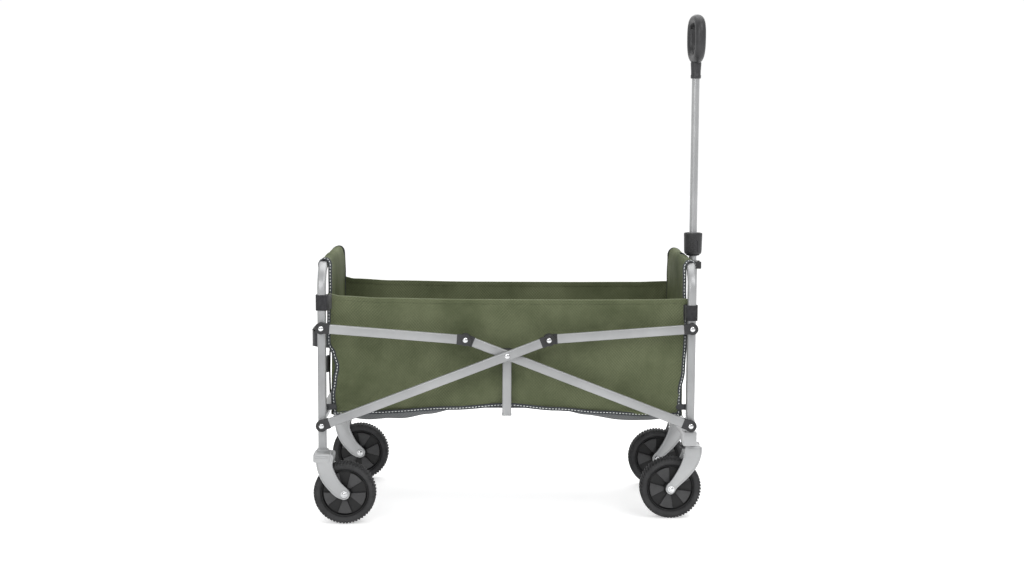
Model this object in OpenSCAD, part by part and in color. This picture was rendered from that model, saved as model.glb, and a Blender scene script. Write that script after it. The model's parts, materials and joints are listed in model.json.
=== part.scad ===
// Folding wagon: two end hoops joined by crossing side tubes, a fabric tub, four wheels and a pull handle.
// Millimetres. +X is the front, where the handle stands, +Z is up, the ground is z = 0.

/* [Frame] */
// half the distance between the two end hoops
half_span = 444; // [400:1:480]
// height of the lower side joints
z_low = 237; // [220:1:250]
// height of the upper side joints
z_up = 473; // [455:1:490]
// height where the long side tubes cross
z_cross = 408; // [395:1:420]
// outside top of the hoops
hoop_top = 629; // [600:1:650]
// outer radius of the two top bends of a hoop
bend_r = 72; // [40:1:90]
// square hoop tube
tube = 20; // [18:1:24]
// height of the side tubes
bar_h = 22; // [18:1:24]
// thickness of the side tubes
bar_t = 12; // [10:1:12]
// wall of all the frame tubes
wall = 1.5; // [1:0.1:2]
// half the leg spacing when folded flat
folded_half = 68; // [66:1:90]

/* [Wheels] */
// tyre radius
wheel_r = 75; // [70:1:80]
// tyre width
tyre_w = 42; // [36:1:44]
// radius of the wheel disc inside the tyre
disc_r = 58; // [50:1:62]
// half track of the fixed rear wheels
rear_track = 240; // [238:1:250]
// half track of the front casters
front_track = 176; // [170:1:178]
// how far the rear axle sits ahead of its leg
rear_lead = 55; // [40:1:60]
// caster trail
trail = 42; // [35:1:50]

/* [Tub] */
// half length of the fabric tub
tub_x = 428; // [400:1:430]
// half width of the fabric tub
tub_y = 198; // [190:1:200]
// top edge of the side panels at their middle
tub_top = 538; // [520:1:560]
// bottom edge of the side panels at their ends
tub_bottom = 256; // [250:1:270]
// height of the floor boards' hinges
floor_z = 278; // [270:1:285]
// length of each floor board
board_len = 345; // [320:1:350]
// thickness of each floor board
board_t = 6; // [4:1:8]

/* [Handle] */
// distance of the handle axis from the middle
handle_x = 469; // [466:1:475]
// height of the handle pivot
pivot_z = 205; // [195:1:210]
// lower tube radius
low_r = 11.5; // [11:0.5:13]
// sliding rod radius
rod_r = 9.5; // [8:0.5:10]
// clearance between the lower tube and the rod
slide_fit = 0.08; // [0.02:0.01:0.1]
// top of the grip loop
grip_top = 1231; // [1150:1:1250]

/* [Hidden] */
$fn = 48;
rear_y = 226;                 // rear leg centre plane
front_y = 212;                // front leg centre plane
inner_y = 230;                // plane of the front diagonals and front links
outer_y = 244;                // plane of the rear diagonals and rear links
fab = 2.8;                    // fabric thickness
run = 0.06;                   // running clearance of pins
R1 = norm([half_span, z_cross - z_low]);
phi0 = atan((z_cross - z_low) / half_span);
phi1 = acos(folded_half / R1);
span_h = z_up - z_low;
// the upper end of each diagonal is placed so the linkage closes exactly open and exactly folded
R2 = R1 * span_h / (2 * R1 * (sin(phi0) + sin(phi1)) - span_h);
knuckle = [R2 * cos(phi0), z_cross + R2 * sin(phi0)];
low_joint = [half_span, z_low];
up_joint = [half_span, z_up];
crown_z = 176;                // top of the fork crowns
neck = 20;                    // from a joint to where the side tube starts
post_top = 417;               // top of the centre posts, under their caps

// which sub-part to draw

// ---- shared shapes ----

// puts children on both sides of the wagon
module both_sides() { children(); mirror([0, 1, 0]) children(); }

// a cylinder along Y, from y0 to y1, at a point of the side plane
module pin(p, r, y0, y1) translate([p[0], y1, p[1]]) rotate([90, 0, 0]) cylinder(r = r, h = y1 - y0);

// extrudes a side-plane (X, Z) drawing along Y from y0 to y1
module along_y(y0, y1) translate([0, y1, 0]) rotate([90, 0, 0]) linear_extrude(y1 - y0) children();

// a straight strip with round ends, in a plane
module strip(p, q, r) {
  translate(p) circle(r);
  translate(q) circle(r);
  translate(p) rotate(atan2(q[1] - p[1], q[0] - p[0])) translate([0, -r]) square([norm(q - p), 2 * r]);
}

// a rectangle with round corners, centred
module round_rect(w, h, r) {
  square([w - 2 * r, h], center = true);
  square([w, h - 2 * r], center = true);
  for (x = [-1, 1], y = [-1, 1]) translate([x * (w / 2 - r), y * (h / 2 - r)]) circle(r);
}

// an arch: straight sides, round top corners
module arch(half, bottom, top, r) {
  translate([-half, bottom]) square([2 * half, top - r - bottom]);
  translate([-half + r, top - r - 1]) square([2 * (half - r), r + 1]);
  for (s = [-1, 1]) translate([s * (half - r), top - r]) circle(r);
}

// an inverted U of square tube around the arch, open at its feet
module hoop(x, y, bottom) translate([x, 0, 0]) rotate([90, 0, 90]) difference() {
  linear_extrude(tube, center = true) difference() {
    arch(y + tube / 2, bottom, hoop_top, bend_r);
    arch(y - tube / 2, bottom - 5, hoop_top - tube, bend_r - tube);
  }
  linear_extrude(tube - 2 * wall, center = true) difference() {
    arch(y + tube / 2 - wall, bottom - 1, hoop_top - wall, bend_r - wall);
    arch(y - tube / 2 + wall, bottom - 5, hoop_top - tube + wall, bend_r - tube + wall);
  }
}

// holes for the joint rivets through both legs of a hoop
module rivet_holes(x) both_sides() for (z = [z_low, z_up]) pin([x, z], 4, 190, 245);

// two shouldered rivets per side, from inside the leg to the outside of the tube fitting
module rivets(x, leg_y, bar_y) both_sides() for (z = [z_low, z_up]) {
  pin([x, z], 4, leg_y - tube / 2, bar_y + 7);
  pin([x, z], 7.5, leg_y - tube / 2 - 1.4, leg_y - tube / 2);
  pin([x, z], 7.5, bar_y + 6.7, bar_y + 9.7);
}

// frame of a side tube: origin at p, local X pointing at q
module toward(p, q) translate([p[0], 0, p[1]])
  rotate([0, -atan2(q[1] - p[1], q[0] - p[0]), 0]) children();

// rectangular tube between two joints, kept back from both by the fittings
module side_tube(p, q, y) toward(p, q) translate([0, y, 0]) difference() {
  translate([neck, -bar_t / 2, -bar_h / 2]) cube([norm(q - p) - 2 * neck, bar_t, bar_h]);
  translate([neck - 4, -bar_t / 2 + wall, -bar_h / 2 + wall])
    cube([norm(q - p) - 2 * neck + 8, bar_t - 2 * wall, bar_h - 2 * wall]);
}

// plastic fitting at the p end of a side tube: round eye, neck and plug
module tube_end(p, q, y, bore) toward(p, q) translate([0, y, 0]) difference() {
  union() {
    rotate([90, 0, 0]) cylinder(r = 14, h = bar_t + 0.8, center = true);
    translate([0, -bar_t / 2 - 0.4, -12]) cube([neck - 0.1, bar_t + 0.8, 24]);
    translate([neck - 1, -bar_t / 2 + wall + 0.05, -bar_h / 2 + wall + 0.05])
      cube([16, bar_t - 2 * wall - 0.1, bar_h - 2 * wall - 0.1]);
  }
  rotate([90, 0, 0]) cylinder(r = bore, h = 40, center = true);
}

// ---- frame ----

module rear_hoop() color("silver") difference() {
  hoop(-half_span, rear_y, crown_z);
  rivet_holes(-half_span);
}
module front_hoop() color("silver") difference() {
  hoop(half_span, front_y, 186);
  rivet_holes(half_span);
}
module rear_rivets() color("gainsboro") rivets(-half_span, rear_y, outer_y);
module front_rivets() color("gainsboro") rivets(half_span, front_y, inner_y);

// square tube between two inner faces
module crossbar(x, z, half, size) translate([x, 0, z]) difference() {
  cube([size, 2 * half, size], center = true);
  cube([size - 2 * wall, 2 * half + 1, size - 2 * wall], center = true);
}
module rear_crossbar() color("silver") crossbar(-half_span, 258, rear_y - tube / 2, 18);
module front_crossbar() color("silver") crossbar(half_span, 198, 157.9, 18);

// rod that the floor board turns on, with a plate to each leg
module floor_rod(s, leg_y) {
  pin([s * 418, floor_z], 4, -leg_y + tube / 2, leg_y - tube / 2);
  both_sides() along_y(leg_y - tube / 2 - 4, leg_y - tube / 2)
    strip([s * 418, floor_z], [s * (half_span - 2), floor_z], 7);
}
module rear_floor_rod() color("dimgray") floor_rod(-1, rear_y);
module front_floor_rod() color("dimgray") floor_rod(1, front_y);

// ---- forks, casters and wheels ----

// two arms from the crown down to the axle, each side of the wheel plane
module fork_arms(crown, axle, y) for (s = [-1, 1]) difference() {
  along_y(y + s * 27 - 2.7, y + s * 27 + 2.7) strip(crown, axle, 12.5);
  pin(axle, 5, y - 40, y + 40);
}
module rear_fork(y) {
  translate([-half_span - 22, y - 30, 156]) cube([44, 60, crown_z - 156]);
  fork_arms([-half_span + 8, 158], [-half_span + rear_lead, wheel_r], y);
}
module rear_fork_left() color("lightgray") rear_fork(rear_track);
module rear_fork_right() color("lightgray") mirror([0, 1, 0]) rear_fork(rear_track);

module axle(p, y) {
  pin(p, 5, y - 33, y + 33);
  for (s = [-1, 1]) pin(p, 9, y + s * 32.2 - 2.2, y + s * 32.2 + 2.2);
}
module rear_axles() color("gray") both_sides() axle([-half_span + rear_lead, wheel_r], rear_track);

// swivelling fork: crown, bearing collar and arms, bored for its stem
module caster(y) difference() {
  union() {
    translate([half_span - 22, y - 30, 157]) cube([44, 60, 15]);
    translate([half_span, y, 171]) cylinder(r = 17, h = 14.6);
    fork_arms([half_span - 8, 158], [half_span - trail, wheel_r], y);
  }
  translate([half_span, y, 150]) cylinder(r = 6, h = 40);
}
module caster_left() color("lightgray") caster(front_track);
module caster_right() color("lightgray") mirror([0, 1, 0]) caster(front_track);
module stem(y) translate([half_span, y, 157]) {
  cylinder(r = 6, h = 58);
  translate([0, 0, -4]) cylinder(r = 10, h = 4);
}
module stem_left() color("gray") stem(front_track);
module stem_right() color("gray") stem(-front_track);
module front_axle_left() color("gray") axle([half_span - trail, wheel_r], front_track);
module front_axle_right() color("gray") axle([half_span - trail, wheel_r], -front_track);

// socket block under each front leg, bored for the stem
module caster_sockets() color("dimgray") both_sides() difference() {
  union() {
    translate([half_span - 16, 158, 186]) cube([32, 43.9, 34]);
    translate([half_span - 16, 201.9, 186]) cube([32, 22.1, 34]);
  }
  translate([half_span, front_track, 180]) cylinder(r = 6 + run, h = 36);
  translate([half_span - tube / 2, front_y - tube / 2, 185]) cube([tube, tube, 40]);
}

module wheel_at(s_front, s_side) translate([s_front > 0 ? half_span - trail : -half_span + rear_lead,
  s_side * (s_front > 0 ? front_track : rear_track), wheel_r]) rotate([90, 0, 0]) children();
module tyre() rotate_extrude($fn = 96) for (s = [-1, 1]) polygon([[disc_r, 0], [disc_r, s * (tyre_w / 2 - 5)],
  [disc_r + 4, s * (tyre_w / 2 - 1)], [wheel_r - 8, s * tyre_w / 2], [wheel_r - 5, s * tyre_w / 2],
  [wheel_r, s * (tyre_w / 2 - 6)], [wheel_r, 0]]);
module hub() difference() {
  union() {
    cylinder(r = disc_r, h = 26, center = true, $fn = 96);
    cylinder(r = 15, h = 48, center = true);
  }
  for (s = [-1, 1]) translate([0, 0, s * 16]) difference() {
    cylinder(r = disc_r - 5, h = 14, center = true, $fn = 96);
    cylinder(r = 18, h = 20, center = true);
  }
  cylinder(r = 5 + run, h = 60, center = true);
}
module tyre_rear_left() color("dimgray") wheel_at(-1, 1) tyre();
module tyre_rear_right() color("dimgray") wheel_at(-1, -1) tyre();
module tyre_front_left() color("dimgray") wheel_at(1, 1) tyre();
module tyre_front_right() color("dimgray") wheel_at(1, -1) tyre();
module hub_rear_left() color("black") wheel_at(-1, 1) hub();
module hub_rear_right() color("black") wheel_at(-1, -1) hub();
module hub_front_left() color("black") wheel_at(1, 1) hub();
module hub_front_right() color("black") wheel_at(1, -1) hub();

// ---- folding side linkage ----

function flip(p) = [-p[0], p[1]];

// long tube from a lower joint through the crossing to its knuckle
module diagonal(s, y, bore) difference() {
  side_tube([s * half_span, z_low], [-s * knuckle[0], knuckle[1]], y);
  pin([0, z_cross], bore, y - 20, y + 20);
}
// half rivet that closes a knuckle: shank to the mid plane, head on the free side
module half_rivet(p, y, side) {
  pin(p, 4, y - 6.8, y + 6.8);
  pin(p, 7.5, side > 0 ? y + 6.4 : y - 8.2, side > 0 ? y + 9.2 : y - 6.4);
}
module rear_diagonals() color("silver") both_sides() diagonal(-1, outer_y, 5);
module front_diagonals() color("silver") both_sides() diagonal(1, inner_y, 5 + run);
module rear_diagonal_ends() color("black") both_sides() {
  tube_end(flip(low_joint), knuckle, outer_y, 4 + run);
  tube_end(knuckle, flip(low_joint), outer_y, 3.9);
  half_rivet(knuckle, outer_y, 1);
}
module front_diagonal_ends() color("black") both_sides() {
  tube_end(low_joint, flip(knuckle), inner_y, 4 + run);
  tube_end(flip(knuckle), low_joint, inner_y, 3.9);
  half_rivet(flip(knuckle), inner_y, -1);
}
module rear_links() color("silver") both_sides() side_tube(flip(up_joint), flip(knuckle), outer_y);
module front_links() color("silver") both_sides() side_tube(up_joint, knuckle, inner_y);
module rear_link_ends() color("black") both_sides() {
  tube_end(flip(up_joint), flip(knuckle), outer_y, 4 + run);
  tube_end(flip(knuckle), flip(up_joint), outer_y, 3.9);
  half_rivet(flip(knuckle), outer_y, 1);
}
module front_link_ends() color("black") both_sides() {
  tube_end(up_joint, knuckle, inner_y, 4 + run);
  tube_end(knuckle, up_joint, inner_y, 3.9);
  half_rivet(knuckle, inner_y, -1);
}
module crossing_pins() color("gainsboro") both_sides() {
  pin([0, z_cross], 5, 201, outer_y + 7);
  pin([0, z_cross], 8, 200.2, 201.7);
  pin([0, z_cross], 8, outer_y + 6, outer_y + 9.5);
}

// posts that hang from the crossings and carry the middle of the floor
module centre_posts() color("silver") both_sides() difference() {
  translate([-11, 202, 263]) cube([22, 20, post_top - 263]);
  translate([-11 + wall, 202 + wall, 260]) cube([22 - 2 * wall, 20 - 2 * wall, post_top - 255]);
  pin([0, z_cross], 5 + run, 190, 230);
}
module post_caps() color("black") both_sides() {
  translate([-12, 201.5, post_top]) cube([24, 21, 4.5]);
  translate([-12, 201.5, 258]) cube([24, 21, 5]);
}
module centre_crossbar() color("dimgray") pin([0, 268], 5, -202, 202);

// ---- fabric tub ----

module side_panel() translate([0, tub_y - fab / 2, 0]) rotate([90, 0, 0]) translate([0, 0, -fab])
  linear_extrude(fab) polygon([[-400, tub_bottom], [-300, 258], [-120, 266], [0, 275], [120, 266],
    [300, 257], [400, tub_bottom], [400, floor_z + 9], [tub_x, floor_z + 9], [tub_x, tub_top + 2],
    [0, tub_top], [-tub_x, tub_top + 10], [-tub_x, floor_z + 9], [-400, floor_z + 9]]);
module side_panel_left() color("olivedrab") side_panel();
module side_panel_right() color("olivedrab") mirror([0, 1, 0]) side_panel();

// end panel: hangs inside the hoop and wraps over its top tube; gap leaves room for the parked handle
module end_panel(gap, leg_y) difference() {
  union() {
    translate([half_span - 14.5, -196, tub_bottom]) cube([fab, 392, hoop_top + 1 - tub_bottom]);
    translate([half_span, 0, hoop_top - tube / 2]) rotate([90, 0, 0])
      linear_extrude(2 * (leg_y + tube / 2 - bend_r - 0.5), center = true) difference() {
        round_rect(26.2, 26.2, 5);
        round_rect(tube + 1.2, tube + 1.2, 0.5);
      }
  }
  if (gap > 0) translate([half_span - 9, -gap, 590]) cube([40, 2 * gap, 60]);
  for (s = [-1, 1]) translate([half_span - 16, s > 0 ? 174 : -230, 578]) cube([12, 56, 60]);
}
module rear_end_panel() color("olivedrab") mirror([1, 0, 0]) end_panel(0, rear_y);
module front_end_panel() color("olivedrab") end_panel(26, front_y);

// webbing loop round a leg with a tab to the side panel's corner
module leg_strap(x, leg_y, z, s) {
  translate([x, leg_y, z]) linear_extrude(38) difference() {
    square([tube + 2.8, tube + 2.8], center = true);
    square([tube + 0.4, tube + 0.4], center = true);
  }
  translate([s > 0 ? x + 3 : x - 12, tub_y + fab / 2 + 0.3, z])
    cube([9, leg_y - tube / 2 - 0.1 - tub_y - fab / 2 - 0.3, 38]);
}
module rear_leg_straps() color("black") both_sides() leg_strap(-half_span, rear_y, 514, 1);
module front_leg_straps() color("black") both_sides() leg_strap(half_span, front_y, 491, -1);

// webbing grab handle standing off the rear panel
module rear_grab_handle() color("black") translate([0, 0, 400]) linear_extrude(46) {
  translate([-492, -70]) square([3, 140]);
  for (s = [-1, 1]) {
    strip([-490.5, s * 69], [-446, s * 96], 1.5);
    translate([-447.2, s > 0 ? 94 : -130]) square([3, 36]);
    translate([-447.2, s > 0 ? 96 : -130]) square([14.8, 34]);
  }
}
module closing_strap() color("black") translate([-434.4, -150, 300]) cube([1.8, 30, 90]);
module strap_buckle() color("black") translate([-443.4, -155, 352]) cube([8.9, 40, 38]);

// floor board with a rolled barrel on its rod
module floor_board() difference() {
  union() {
    translate([418 - board_len, -188, floor_z - board_t / 2]) cube([board_len, 376, board_t]);
    pin([418, floor_z], 8, -188, 188);
  }
  pin([418, floor_z], 4 + run, -200, 200);
}
module floor_board_front() color("darkslategray") floor_board();
module floor_board_rear() color("darkslategray") mirror([1, 0, 0]) floor_board();
module floor_centre() color("darkslategray") translate([-71.5, -188, 274]) cube([143, 376, 5]);
module pull_loop() color("black") translate([0, 0, 279]) rotate([90, 0, 0])
  linear_extrude(30, center = true) difference() {
    translate([-50, 0]) square([100, 20]);
    translate([-47, 2]) square([94, 15]);
  }

// ---- pull handle ----

// two cheeks from the front crossbar to the handle pivot
module handle_bracket() color("dimgray") both_sides() difference() {
  along_y(13, 17) {
    strip([half_span + 10, 198], [handle_x, pivot_z], 10);
    translate([half_span + 9, 187]) square([8, 21]);
  }
  pin([handle_x, pivot_z], 4, 0, 30);
  translate([half_span - 11, 0, 180]) cube([20, 30, 40]);
}
module handle_bolt() color("gray") {
  pin([handle_x, pivot_z], 4, -17, 17);
  pin([handle_x, pivot_z], 7.5, 17, 21);
  pin([handle_x, pivot_z], 7.5, -21, -17);
}

// lower tube with a solid eye at the pivot
module handle_tube() color("silver") difference() {
  union() {
    pin([handle_x, pivot_z], low_r, -12.6, 12.6);
    translate([handle_x, 0, pivot_z]) cylinder(r = low_r, h = 650 - pivot_z);
  }
  translate([handle_x, 0, pivot_z + 13]) cylinder(r = rod_r + slide_fit, h = 500);
  pin([handle_x, pivot_z], 4 + run, -20, 20);
}
// plastic core on the top of the lower tube that the rod slides through
module lock_core() color("black") translate([handle_x, 0, 0]) difference() {
  union() {
    translate([0, 0, 631]) cylinder(r = 14.5, h = 31);
    translate([0, 0, 630]) cylinder(r = 17, h = 3);
  }
  translate([0, 0, 600]) cylinder(r = low_r, h = 50);
  translate([0, 0, 640]) cylinder(r = rod_r + slide_fit, h = 40);
}
// spring sleeve pulled up to release the rod
module lock_sleeve() color("black") translate([handle_x, 0, 0]) difference() {
  union() {
    translate([0, 0, 633.4]) cylinder(r1 = 20, r2 = 22, h = 20);
    translate([0, 0, 653.4]) cylinder(r1 = 22, r2 = 23, h = 22);
    translate([0, 0, 675.4]) cylinder(r = 23, h = 11);
  }
  translate([0, 0, 600]) cylinder(r = 14.5 + run, h = 72);
  translate([0, 0, 671]) cylinder(r = 19.5, h = 30);
}
module handle_rod() color("silver") translate([handle_x, 0, 592]) difference() {
  cylinder(r = rod_r, h = 492);
  translate([0, 0, -1]) cylinder(r = rod_r - wall, h = 488);
}
// loop grip on a short neck
module handle_grip() color("black") translate([handle_x, 0, 0]) {
  difference() {
    translate([0, 0, 1072]) cylinder(r = 12.5, h = 40);
    translate([0, 0, 1070]) cylinder(r = rod_r, h = 14);
  }
  translate([0, 0, grip_top - 61]) rotate([90, 0, 90]) linear_extrude(29, center = true) difference() {
    round_rect(114, 122, 40);
    round_rect(74, 78, 22);
  }
}
// open cradle that holds the folded-up handle against the hoop
module handle_clip() color("black") difference() {
  union() {
    translate([half_span + tube / 2, -18, 597]) cube([35, 36, 18]);
    translate([half_span - 4, -18, 597]) cube([tube / 2 + 5, 36, hoop_top - tube - 597]);
  }
  translate([handle_x, 0, 590]) cylinder(r = low_r + 0.6, h = 40);
  translate([handle_x, -low_r - 0.6, 590]) cube([40, 2 * low_r + 1.2, 40]);
}

rear_hoop();
rear_crossbar();
rear_floor_rod();
rear_rivets();
rear_fork_left();
rear_fork_right();
rear_axles();
rear_end_panel();
rear_grab_handle();
closing_strap();
strap_buckle();
rear_leg_straps();
side_panel_left();
side_panel_right();
front_hoop();
front_crossbar();
front_floor_rod();
front_rivets();
caster_sockets();
handle_bracket();
handle_bolt();
handle_clip();
front_end_panel();
front_leg_straps();
caster_left();
caster_right();
stem_left();
stem_right();
front_axle_left();
front_axle_right();
tyre_rear_left();
tyre_rear_right();
tyre_front_left();
tyre_front_right();
hub_rear_left();
hub_rear_right();
hub_front_left();
hub_front_right();
rear_diagonals();
rear_diagonal_ends();
crossing_pins();
front_diagonals();
front_diagonal_ends();
rear_links();
rear_link_ends();
front_links();
front_link_ends();
centre_posts();
centre_crossbar();
post_caps();
floor_board_rear();
floor_board_front();
floor_centre();
pull_loop();
handle_tube();
lock_core();
lock_sleeve();
handle_rod();
handle_grip();
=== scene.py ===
import json
import math
import random

import bmesh
import bpy
from mathutils import Matrix, Vector

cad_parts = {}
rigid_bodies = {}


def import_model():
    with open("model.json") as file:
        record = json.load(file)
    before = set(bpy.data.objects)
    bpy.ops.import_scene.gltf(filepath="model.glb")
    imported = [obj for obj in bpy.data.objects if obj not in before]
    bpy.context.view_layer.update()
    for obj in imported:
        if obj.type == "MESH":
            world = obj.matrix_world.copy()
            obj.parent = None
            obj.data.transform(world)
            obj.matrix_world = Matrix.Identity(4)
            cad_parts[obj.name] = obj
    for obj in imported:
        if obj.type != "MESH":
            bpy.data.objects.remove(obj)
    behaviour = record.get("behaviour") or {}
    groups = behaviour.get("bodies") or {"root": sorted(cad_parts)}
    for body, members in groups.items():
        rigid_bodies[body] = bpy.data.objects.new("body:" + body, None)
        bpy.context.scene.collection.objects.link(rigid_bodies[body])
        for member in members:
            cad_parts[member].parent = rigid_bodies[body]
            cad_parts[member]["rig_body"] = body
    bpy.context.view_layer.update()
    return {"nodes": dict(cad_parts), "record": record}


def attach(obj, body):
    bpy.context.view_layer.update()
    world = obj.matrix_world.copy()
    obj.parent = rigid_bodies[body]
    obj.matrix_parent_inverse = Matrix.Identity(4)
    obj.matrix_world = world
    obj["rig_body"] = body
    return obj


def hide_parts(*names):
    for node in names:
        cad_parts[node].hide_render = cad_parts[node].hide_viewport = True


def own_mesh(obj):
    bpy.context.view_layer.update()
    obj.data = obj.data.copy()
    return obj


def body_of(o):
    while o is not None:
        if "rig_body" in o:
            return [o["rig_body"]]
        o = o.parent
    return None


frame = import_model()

NODES = frame["nodes"]
rng = random.Random(7)
V = Vector


# ---------------------------------------------------------------- camera, light, floor
CAMERA_AT = V((-0.0308, -4.2177, 1.0154))
CAMERA_TURN = (0.6, 6.37, 0.31)  # yaw, pitch down, roll in degrees
SENSOR_MM, LENS_MM = 36.0, 59.059


def make_camera():
    yaw, pitch, roll = [math.radians(a) for a in CAMERA_TURN]
    fwd = V((math.sin(yaw) * math.cos(pitch), math.cos(yaw) * math.cos(pitch), -math.sin(pitch)))
    right = V((math.cos(yaw), -math.sin(yaw), 0))
    up = right.cross(fwd)
    r2 = right * math.cos(roll) + up * math.sin(roll)
    u2 = -right * math.sin(roll) + up * math.cos(roll)
    data = bpy.data.cameras.new("camera")
    data.sensor_width = SENSOR_MM
    data.lens = LENS_MM
    data.clip_end = 60
    cam = bpy.data.objects.new("camera", data)
    bpy.context.scene.collection.objects.link(cam)
    m = Matrix((r2, u2, -fwd)).transposed().to_4x4()
    m.translation = CAMERA_AT
    cam.matrix_world = m
    bpy.context.scene.camera = cam


make_camera()


def area(name, loc, target, size, power):
    data = bpy.data.lights.new(name, "AREA")
    data.shape = "RECTANGLE"
    data.size, data.size_y = size
    data.energy = power
    o = bpy.data.objects.new(name, data)
    bpy.context.scene.collection.objects.link(o)
    o.location = loc
    o.rotation_euler = (V(target) - V(loc)).to_track_quat("-Z", "Y").to_euler()


area("key", (1.7, -2.5, 3.2), (0, 0, 0.4), (2.0, 1.8), 52)
area("fill", (-1.3, -3.3, 2.1), (0, 0, 0.4), (2.0, 1.6), 44)
area("top", (0.2, 0.6, 3.4), (0, 0, 0.4), (3.0, 2.6), 46)
area("back", (1.0, 3.2, 2.2), (0, 0, 0.5), (2.4, 2.0), 26)


def studio_world():
    """A white backdrop that falls off to grey behind the camera, so rounded metal shows its shape."""
    world = bpy.data.worlds.new("studio")
    bpy.context.scene.world = world
    world.use_nodes = True
    nodes, links = world.node_tree.nodes, world.node_tree.links
    where = nodes.new("ShaderNodeTexCoord")
    split = nodes.new("ShaderNodeSeparateXYZ")
    fall = nodes.new("ShaderNodeMapRange")
    for socket, value in (("From Min", -0.9), ("From Max", 0.75), ("To Min", 0.38), ("To Max", 1.02)):
        fall.inputs[socket].default_value = value
    links.new(where.outputs["Generated"], split.inputs[0])
    links.new(split.outputs["Y"], fall.inputs["Value"])
    back = nodes["Background"]
    back.inputs["Color"].default_value = (1, 1, 1, 1)
    links.new(fall.outputs["Result"], back.inputs["Strength"])


studio_world()
bpy.context.scene.view_settings.view_transform = "Standard"


# ---------------------------------------------------------------- materials
class Mat:
    """A small builder for node materials in object space."""

    def __init__(self, name, color, rough, metal=0.0, spec=None, sheen=None, coat=None):
        self.m = bpy.data.materials.new(name)
        self.m.use_nodes = True
        self.nt = self.m.node_tree
        self.b = self.nt.nodes["Principled BSDF"]
        self.b.inputs["Base Color"].default_value = (*color, 1)
        self.b.inputs["Roughness"].default_value = rough
        self.b.inputs["Metallic"].default_value = metal
        if spec is not None:
            self.b.inputs["Specular IOR Level"].default_value = spec
        if sheen is not None:
            self.b.inputs["Sheen Weight"].default_value = sheen[0]
            self.b.inputs["Sheen Roughness"].default_value = sheen[1]
        if coat is not None:
            self.b.inputs["Coat Weight"].default_value = coat[0]
            self.b.inputs["Coat Roughness"].default_value = coat[1]
        self.co = self.node("ShaderNodeTexCoord").outputs["Object"]
        self.height = None

    def node(self, kind, sockets=None, **props):
        """A new node with its settings and its constant sockets."""
        n = self.nt.nodes.new(kind)
        for k, v in props.items():
            setattr(n, k, v)
        for k, v in (sockets or {}).items():
            n.inputs[k].default_value = v
        return n

    def link(self, a, b):
        self.nt.links.new(a, b)

    def mapped(self, rot):
        n = self.node("ShaderNodeMapping", {"Rotation": rot})
        self.link(self.co, n.inputs["Vector"])
        return n.outputs["Vector"]

    def noise(self, scale, detail=4, rough=0.55):
        n = self.node("ShaderNodeTexNoise", {"Scale": scale, "Detail": detail, "Roughness": rough})
        self.link(self.co, n.inputs["Vector"])
        return n.outputs["Fac"]

    def wave(self, scale, direction, vec=None, distortion=0.0):
        sockets = {"Scale": scale, "Distortion": distortion}
        n = self.node("ShaderNodeTexWave", sockets, wave_type="BANDS", bands_direction=direction)
        self.link(vec or self.co, n.inputs["Vector"])
        return n.outputs["Fac"]

    def ramp(self, fac, stops):
        n = self.node("ShaderNodeValToRGB")
        e = n.color_ramp.elements
        e[0].position, e[0].color = stops[0][0], (*stops[0][1], 1)
        e[1].position, e[1].color = stops[-1][0], (*stops[-1][1], 1)
        for p, c in stops[1:-1]:
            x = e.new(p)
            x.color = (*c, 1)
        self.link(fac, n.inputs["Fac"])
        return n.outputs["Color"]

    def mix(self, a, b, fac, mode="MIX"):
        n = self.node("ShaderNodeMix", data_type="RGBA", blend_type=mode)
        if isinstance(fac, float):
            n.inputs["Factor"].default_value = fac
        else:
            self.link(fac, n.inputs["Factor"])
        self.link(a, n.inputs[6])
        self.link(b, n.inputs[7])
        return n.outputs[2]

    def grey(self, fac):
        return self.ramp(fac, [(0.0, (0, 0, 0)), (1.0, (1, 1, 1))])

    def math(self, op, a, b):
        n = self.node("ShaderNodeMath", operation=op)
        for i, x in enumerate((a, b)):
            if isinstance(x, (int, float)):
                n.inputs[i].default_value = x
            else:
                self.link(x, n.inputs[i])
        return n.outputs[0]

    def color(self, c):
        self.link(c, self.b.inputs["Base Color"])

    def rough(self, fac, lo, hi):
        n = self.node("ShaderNodeMapRange", {"To Min": lo, "To Max": hi})
        self.link(fac, n.inputs["Value"])
        self.link(n.outputs["Result"], self.b.inputs["Roughness"])

    def bump(self, fac, dist, strength=1.0):
        n = self.node("ShaderNodeBump", {"Distance": dist, "Strength": strength})
        self.link(fac, n.inputs["Height"])
        if self.height is not None:
            self.link(self.height, n.inputs["Normal"])
        self.height = n.outputs["Normal"]
        self.link(self.height, self.b.inputs["Normal"])


def srgb(*channels):
    """Linear colour from 8-bit display values."""
    parts = [c / 255 for c in channels]
    return tuple(c / 12.92 if c <= 0.04045 else ((c + 0.055) / 1.055) ** 2.4 for c in parts)


WAVE = math.pi / 10  # the wave texture's scale for a period of one metre
WEAVE = 0.0052       # spacing of the canvas's diagonal lines


def metal(name, dark, light, rough=(0.3, 0.46), metallic=0.55, coat=0.12, grain=1.0):
    m = Mat(name, light, rough[0], metal=metallic, spec=0.5, coat=(coat, 0.25))
    m.color(m.ramp(m.noise(7, 6), [(0.3, dark), (0.7, light)]))
    m.rough(m.noise(34, 6, 0.65), *rough)
    m.bump(m.noise(900, 2), 0.00002 * grain, 0.3)
    m.bump(m.noise(120, 3), 0.00004 * grain, 0.3)
    return m.m


def plastic(name, dark, light, rough=(0.42, 0.6), grain=900):
    m = Mat(name, light, rough[0], spec=0.42)
    m.color(m.ramp(m.noise(24, 5), [(0.32, dark), (0.72, light)]))
    m.rough(m.noise(60, 5), *rough)
    m.bump(m.noise(grain, 3), 0.00008, 0.6)
    return m.m


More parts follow.
